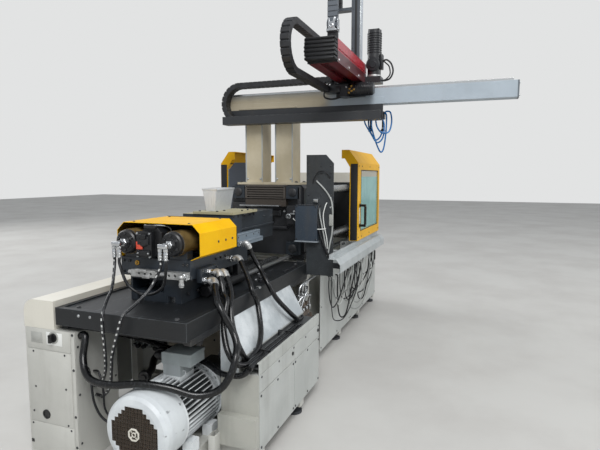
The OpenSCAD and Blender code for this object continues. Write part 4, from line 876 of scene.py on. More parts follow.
@dataclass
class Studio:
    """Camera at the photograph's place, pale floor and soft light."""

    eye: Point = (-2030.0, -1793.0, 1660.0)
    yaw: float = 20.39
    pitch: float = -5.79
    roll: float = 0.10
    lens: float = 29.2
    floor: str = "#c2c1bd"
    floor_patches: str = "#b8b6b2"
    floor_reach: float = 30.0
    floor_drop: float = 0.001
    ground: str = "#e2e3e3"
    sky: Point = (0.93, 0.96, 1.0)
    sky_power: float = 0.58
    lamps: tuple = (("key", (-6600, -4900, 10300), (1400, -300, 900), 6000, 1300),
                    ("side", (5800, -12700, 6200), (1800, -300, 1000), 8000, 380),
                    ("rear", (5000, 12000, 7800), (2000, 0, 1200), 8000, 620))

    def build(self) -> None:
        """Makes the camera, the floor, the world and the lamps."""
        scene = bpy.context.scene
        scene.view_settings.view_transform = "Standard"
        data = bpy.data.cameras.new("camera")
        data.sensor_width = 36
        data.lens = self.lens
        camera = bpy.data.objects.new("camera", data)
        scene.collection.objects.link(camera)
        yaw, pitch, roll = (math.radians(a) for a in (self.yaw, self.pitch, self.roll))
        ahead = Vector((math.cos(pitch) * math.cos(yaw), math.cos(pitch) * math.sin(yaw), math.sin(pitch)))
        right = ahead.cross(Vector((0, 0, 1))).normalized()
        up = right.cross(ahead)
        c, s = math.cos(roll), math.sin(roll)
        pose = Matrix((right * c + up * s, up * c - right * s, -ahead)).transposed().to_4x4()
        pose.translation = place(self.eye)
        camera.matrix_world = pose
        scene.camera = camera
        self.lay_floor()
        self.light_world()
        for lamp in self.lamps:
            self.lamp(*lamp)

    def lay_floor(self) -> None:
        """Lays the floor."""
        reach = self.floor_reach
        data = bpy.data.meshes.new("floor")
        data.from_pydata([(x * reach, y * reach, -self.floor_drop) for x, y in (
            (-1, -1), (1, -1), (1, 1), (-1, 1))], [], [(0, 1, 2, 3)])
        r = Recipe("floor_paint")
        clouds = r.noise(0.8, 5)
        colour = r.mix(tone(self.floor), tone(self.floor_patches), r.band(clouds, 0.35, 0.7))
        data.materials.append(r.shade({"Base Color": colour, "Roughness": clouds * 0.2 + 0.75}))
        floor = bpy.data.objects.new("floor", data)
        bpy.context.scene.collection.objects.link(floor)

    def light_world(self) -> None:
        """Lights all round, and shows a pale ground to the camera and through the panes."""
        world = bpy.data.worlds.new("studio")
        bpy.context.scene.world = world
        world.use_nodes = True
        nodes = Nodes(world.node_tree)
        seen = nodes.add("ShaderNodeLightPath", out="Is Camera Ray")
        through = Signal(nodes, seen.socket.node.outputs["Is Transmission Ray"])
        share = nodes.add("ShaderNodeMath", {"operation": "MAXIMUM"}, {0: seen, 1: through})
        light = nodes.add("ShaderNodeBackground", None, {"Color": self.sky, "Strength": self.sky_power})
        view = nodes.add("ShaderNodeBackground", None, {"Color": tone(self.ground)})
        both = nodes.add("ShaderNodeMixShader", None, {0: share, 1: light, 2: view})
        nodes.end("ShaderNodeOutputWorld", both)

    def lamp(self, name: str, at: Point, target: Point, size: float, power: float) -> None:
        """Hangs one square lamp that faces its target; sizes are in millimetres."""
        data = bpy.data.lights.new(name, "AREA")
        data.size = size / 1000
        data.energy = power
        lamp = bpy.data.objects.new(name, data)
        lamp.location = place(at)
        lamp.rotation_euler = (place(target) - place(at)).to_track_quat("-Z", "Y").to_euler()
        bpy.context.scene.collection.objects.link(lamp)


# Hoses


@dataclass
class Hose:
    """A hose or cable along a route; one with a rise rides on no body and keeps its place."""

    name: str
    route: Sequence[Point]
    diameter: float
    finish: Finish
    body: str = "machine"
    node: str = ""
    rise: Optional[Span] = None
    lay: str = "hanging"
    stiffness: str = "medium"
    sides: int = 14

    def build(self) -> bpy.types.Object:
        """Returns:
            The hose.
        """
        path = [place(p) for p in smooth_path(self.route)]
        shape = Shape(self.finish).tube(self.route, self.diameter, self.sides)
        piece = shape.piece(self.name, None if self.rise else self.body, 60)
        if self.node:
            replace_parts(piece, self.node)
        path_length(path)
        self.diameter / 1000
        if self.rise:
            self.rise[0] / 1000
            self.rise[1] / 1000
            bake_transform(piece)
        return piece


SIDE_PORTS = ((415, 1045), (475, 1085), (545, 1070))
CABLE_ROUTE = [
    (40, 299.5, 760), (40, 262, 760), (0, 245, 655), (-38, 190, 582), (-62, 100, 558), (-60, -20, 560),
    (-25, -160, 574), (25, -300, 554), (80, -425, 510), (135, -530, 530), (170, -585, 610), (205, -596, 690),
    (262, -575, 742), (288, -535, 810), (270, -490, 900), (285, -450, 955), (350, -395, 1005),
    (415, -350, 1045), (415, -318.5, 1045)]
TRAY_ROUTE = [
    (475, -318.5, 1085), (475, -348, 1085), (440, -385, 1030), (414, -412, 975), (385, -448, 950),
    (345, -459, 895), (311, -468, 830), (272, -495, 765), (242, -535, 695), (255, -575, 636),
    (325, -606, 610), (420, -606, 609), (1150, -606, 609)]
LOOP_ROUTE = [
    (545, -318.5, 1070), (545, -348, 1070), (485, -420, 982), (408, -462, 911), (368, -486, 845),
    (338, -525, 755), (345, -560, 670), (390, -571, 612), (460, -571, 611), (550, -569, 632),
    (640, -543, 695), (710, -500, 780), (738, -468, 870), (705, -454, 930), (745, -410, 995),
    (812, -310, 1110), (812, -268.5, 1110)]
DROP_ROUTE = [
    (945, -274.5, 1192), (945, -302, 1192), (988, -330, 1090), (998, -370, 1020), (950, -452, 930),
    (975, -500, 830), (1049, -546, 735), (1130, -576, 660), (1230, -571, 611), (1300, -571, 611)]
BAY_ROUTE = [
    (330.5, 400, 640), (368, 400, 640), (440, 345, 634), (476, 190, 604), (450, 50, 592), (415, -110, 588),
    (375, -310, 562), (308, -435, 548), (276, -530, 556), (276, -598, 568), (296, -640, 604),
    (345, -641, 611), (1100, -641, 610)]
FEED_A = [
    (197, 176, 1189.5), (197, 176, 1150), (120, 132, 1035), (40, 98, 985), (-28, 70, 925), (-40, 62, 850),
    (-26, 66, 740), (20, 110, 590), (80, 200, 475), (112, 262, 442), (112, 299.5, 442)]
FEED_B = [
    (197, -140, 1189.5), (197, -140, 1150), (140, -110, 1040), (50, -78, 970), (-24, -62, 930),
    (-44, -50, 870), (-38, -14, 780), (-20, 26, 690), (20, 70, 590), (70, 130, 470), (130, 240, 372),
    (140, 268, 370), (140, 299.5, 370)]
LOOP_A = [
    (197, 140, 1189.5), (197, 140, 1150), (215, 110, 1040), (228, 40, 985), (228, -50, 985),
    (215, -140, 1040), (197, -176, 1150), (197, -176, 1189.5)]


@dataclass
class Hoses:
    """All the hoses and cables of the injection unit and the motor bay."""

    thick: float = 40.0
    hose: float = 34.0
    thin: float = 17.5

    def build(self) -> list[bpy.types.Object]:
        """Makes the hoses in the order in which they leave the machine."""
        runs = [
            Hose("power_cable_run", CABLE_ROUTE, self.thick, HOSE, node="power_cable", rise=(700, 960)),
            Hose("tray_hose", TRAY_ROUTE, self.hose, HOSE, node="carriage_hoses", rise=(660, 950)),
            Hose("loop_hose", LOOP_ROUTE, self.hose, HOSE, node="carriage_hoses", rise=(660, 930)),
            Hose("drop_hose", DROP_ROUTE, self.hose, HOSE, node="carriage_hoses", rise=(660, 1000)),
            Hose("bay_hose_run", BAY_ROUTE, self.hose, HOSE, node="bay_hose"),
            Hose("feed_hose_left", FEED_A, self.thin, CAP_HOSE, node="cap_hoses", rise=(560, 1000)),
            Hose("feed_hose_right", FEED_B, self.thin, CAP_HOSE, node="cap_hoses", rise=(560, 1000)),
            Hose("cap_loop_hose", LOOP_A, self.thin, WIRE_BLACK, node="cap_hoses", rise=(560, 960)),
        ]
        return [run.build() for run in runs]


# Sub-assemblies


@dataclass
class SwitchCabinet:
    """Cabinet at the near end: door sheets, plates, switch trim and screws."""

    left: float = 653.0
    right: float = 331.0
    top: float = 784.0
    foot: float = 42.0
    side: float = 300.0
    switch: Span = (450.0, 743.0)

    def build(self) -> None:
        """Makes the cabinet's small parts."""
        door = Shape(CABINET)
        for low, high in ((664, self.top), (222, 659), (self.foot, 217)):
            door.box((-2.6, 0.4), (self.right, self.left), (low, high), 1.2)
        door.box((-2.0, 0.3), (302, 326), (self.foot, self.top), 1.0)
        door.piece("cabinet_door_sheets")
        plates = Shape(GREY_PLATE).box((-4.2, -2.4), (536, 622), (700, 764), 1.0)
        plates.use(PALE_PLATE).box((-4.4, -2.6), (388, 505), (697, 772), 1.2)
        plates.use(GREY_PLATE).box((-5.0, -4.2), (548, 610), (712, 754), 0.5)
        plates.piece("cabinet_plates")
        y, z = self.switch
        trim = Shape(GREY_PLATE)
        trim.lathe((-4.2, y, z), NEAR, [(36, 0), (36, 1.6), (33, 2.4), (26, 2.4), (26, 0)], 36)
        trim.use(KNOB)
        trim.lathe((-5, 532, 275), NEAR, [(28, -3), (28, 1), (24, 2.5), (21, 2.5), (20, -2), (0, -2)], 28)
        trim.box((-5, -2), (640, 660), (84, 104), 2)
        for hinge in (140, 470, 740):
            trim.box((6, 60), (667, 675), (hinge - 28, hinge + 28), 3)
        trim.piece("cabinet_trim")
        Shape(KNOB).box((-39, -35.5), (y - 2, y + 2), (z + 4, z + 22), 0.8).piece("switch_pointer", "switch")
        screws = Shape(DULL).pan_screws([(-2.6, a, b) for a, b in (
            (610, 646), (375, 648), (605, 434), (376, 448), (629, 282), (370, 233), (640, 206), (350, 206))],
            NEAR, 7)
        screws.pan_screws(grid(-2, 314, (772, 569, 294, 112)), NEAR, 9)
        screws.pan_screws(grid((20, 310), self.side, (700, 420, 130)), FRONT, 8)
        screws.piece("cabinet_screws")


@dataclass
class BayGear:
    """What shows in the bay behind the cabinet and beside the motor."""

    first: float = 180.0
    pitch: float = 46.0
    wall: float = 1000.0
    side: float = 299.5

    def build(self) -> None:
        """Makes the row of couplings, the bracket, the loose cables and the plug."""
        row = Shape(DULL).box((600, 640), (150, 388), (505, 560), 4)
        row.use(BRIGHT)
        for k in range(5):
            y, z = self.first + k * self.pitch, 532 if k % 2 else 526
            row.lathe((600, y, z), NEAR, [(17, 0), (17, 12), (15, 14)], 6)
            row.stud((586, y, z), NEAR, (12, 30), (10, 33), 16)
        row.use(KNOB)
        for k in (0, 2, 3):
            row.stud((560, self.first + k * self.pitch, 528), NEAR, (14, 22), (9, 26), 16)
        row.piece("coupling_row")
        plug = Shape(KNOB)
        plug.lathe((152, -408, 788), DOWN, [(24, 0), (24, 8), (20, 12), (20, 24), (13, 32), (0, 32)], 20)
        for path, d in (([(600, 150, 520), (470, 70, 560), (360, -30, 606), (292, -52, 610)], 52),
                        ([(600, 150, 505), (500, 150, 480), (400, 100, 452), (300, 81, 444)], 46)):
            plug.tube(path, d, 16)
            way = Vector(path[-1]) - Vector(path[-2])
            plug.lathe(path[-1], way, [(38, -30), (38, -4), (33, 2), (20, 2), (18, 12), (0, 12)], 10)
        plug.piece("table_plug")
        stand = Shape(CABINET)
        for x, y in (((232, 290), (-446, -441)), ((232, 290), (-410, -405)), ((228, 233), (-446, -405))):
            stand.box(x, y, (62, 208), 1)
        stand.piece("tank_bracket")
        for name, d, path in (
                ("bay_wire_a", 14, [(60, self.side, 560), (60, 268, 560), (34, 226, 470), (30, 206, 380),
                                    (50, 170, 290), (84, 90, 236), (108, 30, 200), (127, 0, 182)]),
                ("bay_wire_b", 12, [(130, self.side, 520), (130, 262, 515), (110, 216, 430), (92, 190, 320),
                                    (106, 130, 240), (122, 70, 196), (140, 17.5, 180)])):
            Hose(name, path, d, WIRE_BLACK).build()
        wall = Shape(DULL).pan_screws(grid(self.wall, (-330, 0, 330), (180, 460, 740)), NEAR, 9)
        wall.piece("bay_wall_screws")


@dataclass
class TableTop:
    """Screws, clamps and odd bolts on the machined table."""

    top: float = 910.0

    def build(self) -> None:
        """Makes the table's small parts."""
        top = self.top
        bright = Shape(BRIGHT).pan_screws([(0, 264, 888), (0, 184, 889)], NEAR, 10)
        bright.socket_screws([(1326, -148, top), (1274, -234, top), (1080, -300, top)], UP, 14)
        bright.stud((1576, 57, top), UP, (13, 9), (9, 12), 6)
        bright.box((858, 886), (-434, -404), (top - 2, top + 15), 3)
        bright.box((1280, 1560), (268, 284), (top, top + 10), 2)
        bright.piece("table_bright_bolts")
        dark = Shape(DULL).socket_screws([(x, y, top) for x, y in (
            (1336, -196), (1275, -280), (1070, -340), (1300, -238), (1150, -305))], UP, 17)
        dark.hex_screws([(1790, -330, top), (1700, 330, top), *grid((70, 1790), 330, top), (70, -330, top)],
                        UP, 12)
        dark.box((1420, 1700), (-386, -366), (top, top + 14), 3)
        dark.piece("table_dark_bolts")


@dataclass
class DriveMotor:
    """Hydraulic drive: grille, badge, lifting eyes, terminal box lid and pipes."""

    y: float = -175.0
    z: float = 340.0
    face: float = -105.0
    pitch: float = 22.0
    bar: float = 1.4
    body: float = 188.0

    def build(self) -> None:
        """Makes the motor's small parts."""
        self.grille()
        self.badge()
        eyes = Shape(COWL)
        for x, dy in ((232, -62), (322, -40)):
            dz = math.sqrt(self.body ** 2 - dy ** 2)
            foot = (x, self.y + dy, self.z + dz)
            eyes.lathe(foot, (0, dy, dz), [(15, -14), (15, 6), (10, 8)], 16)
            eyes.torus(Vector(foot) + Vector((0, dy, dz)).normalized() * 26, (0.4, 1, 0.2), 19, 9)
        eyes.box((90, 130), (self.y - 18, self.y + 18), (self.z + 192, self.z + 206), 4)
        eyes.piece("motor_lifting_eyes")
        lid = Shape(TERMINAL).box((193, 346), (-324, -141), (655, 672), 4)
        lid.use(BRIGHT).pan_screws(grid((204, 335), (-312, -153), 672), UP, 7)
        lid.piece("terminal_lid")
        gland = Shape(KNOB)
        gland.lathe((237, -75, 632), REAR, [(26, -24), (26, -6), (20, 0), (17, 14), (0, 14)], 12)
        gland.torus((237, -98, 632), REAR, 23, 6)
        gland.piece("terminal_gland")
        screws = Shape(BRIGHT)
        for a in (35, 145, 215, 325):
            way = Vector((0, math.cos(math.radians(a)), math.sin(math.radians(a))))
            screws.pan_screws([Vector((60, self.y, self.z)) + way * 200], way, 8)
            screws.hex_screws([Vector((440, self.y, self.z)) + way * self.body], NEAR, 9)
        screws.piece("motor_screws")
        pipes = Shape(GROUND)
        pipes.tube([(710, -55, 340), (710, -20, 340), (715, 20, 352), (730, 60, 420), (760, 120, 560),
                    (800, 200, 640), (900, 250, 660), (1000, 260, 660)], 38)
        pipes.tube([(790, -175, 415), (790, -175, 470), (800, -200, 540), (840, -260, 600), (900, -340, 620),
                    (960, -386, 620)], 30)
        pipes.use(BRIGHT).lathe((710, -55, 340), REAR, [(30, -4), (30, 20), (26, 24)], 6)
        pipes.lathe((1000, 260, 660), NEAR, [(30, 0), (30, 22), (26, 26)], 6)
        pipes.lathe((790, -175, 435), UP, [(26, -4), (26, 20), (22, 24)], 6)
        pipes.piece("pump_pipes")

    def grille(self) -> None:
        """Makes the mesh of the cowl, whose outline steps from square to square, and a painted-shade disc
        behind it.
        """
        wires = Shape(MESH)
        for k in range(-12, 13):
            i = round(k / 2 + 0.01)
            if i * i >= 41:
                continue
            half = max(n for n in range(7) if i * i + n * n < 41) * self.pitch + 9
            at = k * self.pitch / 2
            wires.box((self.face - 2.2, self.face - 0.2), (self.y + at - self.bar, self.y + at + self.bar),
                      (self.z - half, self.z + half), 0)
            wires.box((self.face - 1.6, self.face + 0.4), (self.y - half, self.y + half),
                      (self.z + at - self.bar, self.z + at + self.bar), 0)
        # Painted shade: a dark disc behind the mesh for the shaded inside of the cowl.
        wires.use(HOLLOW_SHADE).lathe((-99, self.y, self.z), AWAY, [(0, 0), (150, 0), (150, 2), (0, 2)], 40)
        wires.piece("cowl_grille")

    def badge(self) -> None:
        """Makes the blank badge in the middle of the grille."""
        foot = (self.face - 1.8, self.y, self.z)
        badge = Shape(COVER)
        badge.lathe(foot, NEAR, [(37, 0), (37, 4), (34, 6), (29, 6), (27, 4), (27, 0)], 8, 22.5)
        badge.lathe(foot, NEAR, [(14, 0), (14, 3), (12, 4), (9, 4), (8, 3), (8, 0)], 16)
        for a in range(4):
            s, c = math.sin((a + 0.5) * math.pi / 2), math.cos((a + 0.5) * math.pi / 2)
            badge.lathe((self.face - 2, self.y + 20 * s, self.z + 20 * c), NEAR,
                        [(4, 0), (4, 3.5), (0, 3.5)], 8)
        badge.use(MESH).lathe((self.face - 1.6, self.y, self.z), NEAR, [(28, 0), (28, 1), (0, 1)], 24)
        badge.piece("cowl_badge")


@dataclass
class HoseFittings:
    """Chrome elbows at the caps, the side block and the crimped ends of the hoses."""

    leg_x: float = 197.0
    cap_x: float = 262.0
    drop: float = 14.0
    side: float = -280.0
    sleeve: float = 78.0

    def build(self) -> None:
        """Makes the fittings in place of the plain ones."""
        parts = Shape(CHROME)
        low = AXIS_Z - self.drop
        for s in (-1, 1):
            y = s * CYLINDER_Y
            parts.lathe((self.cap_x, y, AXIS_Z), NEAR, [(25, 0), (25, 13), (22, 16)], 6)
            parts.lathe((self.cap_x - 16, y, AXIS_Z), NEAR, [
                (17, 0), (17, 8), (13, 10), (13, 30), (16, 32), (16, 38)], 20)
            parts.box((self.leg_x - 15, self.leg_x + 15), (y - 30, y + 30), (low, AXIS_Z + self.drop), 9)
            for foot in grid(self.leg_x, (y - 18, y + 18), low):
                parts.lathe(foot, DOWN, [(13.5, 0), (13.5, 15), (12, 17)], 6)
                parts.lathe(foot, DOWN, [
                    (11.4, 16), (11.4, 24), (12.6, 26), (12.6, 34), (11.8, 35), (11.8, 38), (12.6, 39),
                    (12.6, 52), (11.8, 53), (11.8, 56), (12.6, 57), (12.6, 64), (11.2, 66)], 20)
        for x, z in SIDE_PORTS:
            parts.lathe((x, self.side, z), FRONT, [(22, 0), (22, 14), (19, 17)], 6)
            parts.lathe((x, self.side - 16, z), FRONT, [(15, 0), (15, 8), (19, 10), (19, 22)], 20)
        parts.lathe((812, -244, 1110), FRONT, [(24, 0), (24, 10), (18, 13), (18, 24)], 6)
        parts.lathe((945, -252, 1192), FRONT, [(22, 0), (22, 8), (18, 10), (18, 22)], 6)
        parts.use(DARK).box((393, 573), (self.side, -244), (1030, 1115), 5)
        parts.use(DULL).socket_screws(grid((403, 562), self.side, (1038, 1106)), FRONT, 8)
        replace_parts(parts.piece("hose_fittings", "carriage"), "port_elbows")
        sleeves = Shape(MILLED)
        for route, d in ((TRAY_ROUTE, 40), (LOOP_ROUTE, 40), (DROP_ROUTE, 40), (CABLE_ROUTE[::-1], 45),
                         (LOOP_ROUTE[::-1], 40)):
            path = smooth_path(route[:4])
            keep = [p for i, p in enumerate(path) if path_length(path[:i + 1]) < self.sleeve]
            sleeves.tube(keep, d, 18, 1)
            sleeves.tube(keep[-3:], d + 4, 18, 1)
        sleeves.piece("hose_sleeves", "carriage")


@dataclass
class InjectionUnit:
    """Screws, tag, ring and bright blocks at the injection unit's near end."""

    cap_face: float = 270.0
    bolt_circle: float = 49.0
    base_face: float = 333.0
    block_z: float = 1085.0
    cover_y: float = -307.0

    def build(self) -> None:
        """Makes the injection unit's small parts."""
        caps = Shape(DULL)
        for s in (-1, 1):
            for a in range(6):
                way = math.radians(30 + 60 * a)
                caps.socket_screws([(self.cap_face, s * CYLINDER_Y + self.bolt_circle * math.cos(way),
                                     AXIS_Z + self.bolt_circle * math.sin(way))], NEAR, 9)
            caps.torus((299, s * CYLINDER_Y, AXIS_Z), AWAY, 71, 5)
        caps.socket_screws(grid(self.base_face, (-225, -200, 180, 225), (1148, 1082)), NEAR, 10)
        caps.piece("cap_screws", "carriage")
        block = Shape(BLACK).box((256, 268), (-22, 70), (1196, 1228), 4)
        block.box((248, 262), (0, 50), (1296, 1322), 4)
        block.lathe((262, 24, 1276), NEAR, [(26, -6), (26, 4), (20, 8), (0, 8)], 20)
        block.box((290, 380), (-40, 40), (1352, 1372), 4)
        block.use(TAG).box((258.5, 268), (30, 73), (1234, 1278), 2)
        block.use(BRIGHT).socket_screws(grid(268, (-18, 66), (1192, 1326)), NEAR, 8)
        block.pan_screws(grid(256, (-12, 60), 1212), NEAR, 6)
        block.piece("motor_block_parts", "injection")
        wires = Shape(WIRE_GREY)
        wires.tube([(300, 20, 1358), (306, 30, 1368), (330, 62, 1368), (380, 72, 1352), (430, 66, 1300)], 7)
        wires.tube([(300, -10, 1358), (310, -22, 1370), (340, -60, 1368), (390, -70, 1350),
                    (430, -64, 1300)], 7)
        wires.piece("motor_wires", "injection")
        foot = (self.base_face, 125, 1139)
        ring = Shape(BRASS).lathe(foot, NEAR, [(15, 0), (15, 5), (12, 7), (7, 7), (7, 1)], 24)
        # Painted shade: a dark disc in the ring's bore.
        ring.use(HOLLOW_SHADE).lathe(foot, NEAR, [(7, 0), (7, 1.5), (0, 1.5)], 16)
        ring.piece("carriage_ring", "carriage")
        self.blocks()
        cover = Shape(DULL).pan_screws([(547, self.cover_y, 1262), (637, self.cover_y, 1261),
                                        (722, self.cover_y, 1262)], FRONT, 9)
        cover.pan_screws(grid((547, 637, 722), 275, 1262), REAR, 9)
        cover.pan_screws(grid((380, 740), (-210, 180), 1381), UP, 9)
        cover.piece("cover_screws", "carriage")
        edge = Shape(SEAL).box((779, 784), (-312, -300), (1200, 1330), 1.5)
        edge.box((779, 784), (-256, 224), (1374, 1384), 1.5)
        edge.piece("cover_seal", "carriage")

    def blocks(self) -> None:
        """Makes the plugs, pads and screws of the two bright blocks."""
        z = self.block_z
        blocks = Shape(MILLED)
        blocks.lathe((311, 139, z), REAR, [(19, -2), (19, 12), (14, 16), (14, 30), (0, 30)], 20)
        blocks.lathe((311, -30, z), FRONT, [(15, -2), (15, 8), (19, 10), (19, 22), (15, 24), (15, 66)], 20)
        blocks.box((284, 292), (6, 60), (z - 27, z - 6), 3).box((284, 292), (30, 104), (z + 6, z + 26), 3)
        blocks.use(DULL).socket_screws(grid(300, (0, 42, 84, -210, -168, -126), z), NEAR, 8)
        blocks.use(CHROME).lathe((273, -222, z - 36), DOWN, [(17, -2), (17, 12), (14, 15), (0, 15)], 6)
        blocks.lathe((290, -222, z), NEAR, [(21, 0), (21, 8), (19, 10)], 20)
        blocks.piece("manifold_parts", "carriage")


@dataclass
class FeedGear:
    """Hopper rim, feed plate and the guard box beside them."""

    plate: float = 1408.0
    guard_top: float = 1385.0
    guard_side: float = 170.0
    slab_side: float = 244.0

    def build(self) -> None:
        """Makes the feed end's small parts."""
        rim = Shape(HOPPER)
        for x, y in (((978, 984), (-50, 70)), ((1236, 1242), (-50, 70)), ((978, 1242), (-51, -46)),
                     ((978, 1242), (66, 71))):
            rim.box(x, y, (1556, 1570), 1.5)
        rim.piece("hopper_rim", "carriage")
        plate = Shape(BLACK)
        for x in (945, 1010, 1120, 1210, 1270):
            plate.lathe((x, -196, 1391), DOWN, [(12, 0), (12, 10), (9, 14), (9, 24), (0, 24)], 12)
        plate.box((1070, 1190), (-212, -204), (1378, 1390), 2)
        plate.use(DULL).hex_screws(grid((945, 1045), (-70, 70), self.plate), UP, 9)
        plate.socket_screws(grid((1090, 1180, 1270), -190, self.plate), UP, 9)
        plate.piece("feed_plate_parts", "carriage")
        guard = Shape(GUARD).box((930, 1300), (-255, -250), (1196, 1206), 1.5)
        guard.box((930, 1300), (-229, -225), (1246, 1256), 1.5)
        guard.use(DULL).pan_screws(grid((960, 1080, 1200, 1290), -226, 1232), FRONT, 7)
        for s in (-1, 1):
            guard.pan_screws(grid((1120, 1320, 1500, 1640), s * self.guard_side, 1340), (0, s, 0), 8)
        guard.pan_screws(grid((1340, 1640), (-140, 140), self.guard_top), UP, 8)
        guard.piece("barrel_guard_parts", "carriage")
        slab = Shape(DULL).socket_screws(grid((620, 680, 740), -self.slab_side, 1140), FRONT, 10)
        slab.socket_screws(grid((420, 520, 620, 720, 900, 1000), self.slab_side, 1140), REAR, 10)
        slab.socket_screws(grid((400, 500, 600), -178, 960), FRONT, 12)
        slab.piece("carriage_screws", "carriage")


@dataclass
class PlatenGear:
    """Shelf, clamps, ring and wire in front of the fixed platen."""

    face: float = 1960.0
    bar: Span = (262.0, 245.0)

    def build(self) -> None:
        """Makes the fixed platen's small parts."""
        shelf = Shape(GROUND).box((1858, self.face), (-152, 228), (1392, 1401), 1.5)
        shelf.box((1856, 1866), (-152, 228), (1390, 1403), 1.5)
        shelf.piece("platen_shelf")
        blocks = Shape(PLATEN)
        for x, y, z, soft in ((1933, (-138, -62), (1304, 1356), 6), (1933, (70, 190), (1296, 1352), 6),
                              (1933, (-196, 196), (1188, 1214), 5), (1900, (-330, -306), (1230, 1560), 4),
                              (1930, (206, 344), (1330, 1420), 6)):
            blocks.box((x, self.face), y, z, soft)
        blocks.piece("platen_blocks")
        screws = Shape(BRIGHT).socket_screws(grid(1884, (-196, -284), 1352), NEAR, 12)
        screws.lathe((1885, -232, 1308), NEAR, [(24, 0), (24, 6), (20, 9), (11, 9), (11, 2), (0, 2)], 24)
        screws.box((1872, 1885), (-290, -250), (1322, 1338), 2)
        screws.piece("platen_bright_parts")
        dark = Shape(DULL).hex_screws([(self.face, s * y, z) for s in (-1, 1) for y, z in (
            (310, 1080), (310, 1460), (225, 1000))], NEAR, 14)
        dark.hex_screws(grid((1974, 2172), (-270, 270), 1600), UP, 14)
        dark.socket_screws(grid(1900, (-185, 185), 1566), NEAR, 9)
        dark.piece("platen_screws")
        Hose("platen_wire", [(1884, -276, 1293), (1860, -292, 1285), (1836, -340, 1262), (1800, -430, 1236),
                             (1760, -508, 1224), (1745, -548, 1222), (1760, -590, 1224), (1786, -600, 1226)],
             8, WIRE_WHITE, stiffness="limp").build()
        caps = Shape(PLATEN)
        dy, dz = self.bar
        for foot in grid(1900, (-dy, dy), (AXIS_Z - dz, AXIS_Z + dz)):
            caps.stud(foot, NEAR, (38, 6), (30, 12), 24)
        caps.piece("tie_bar_caps")


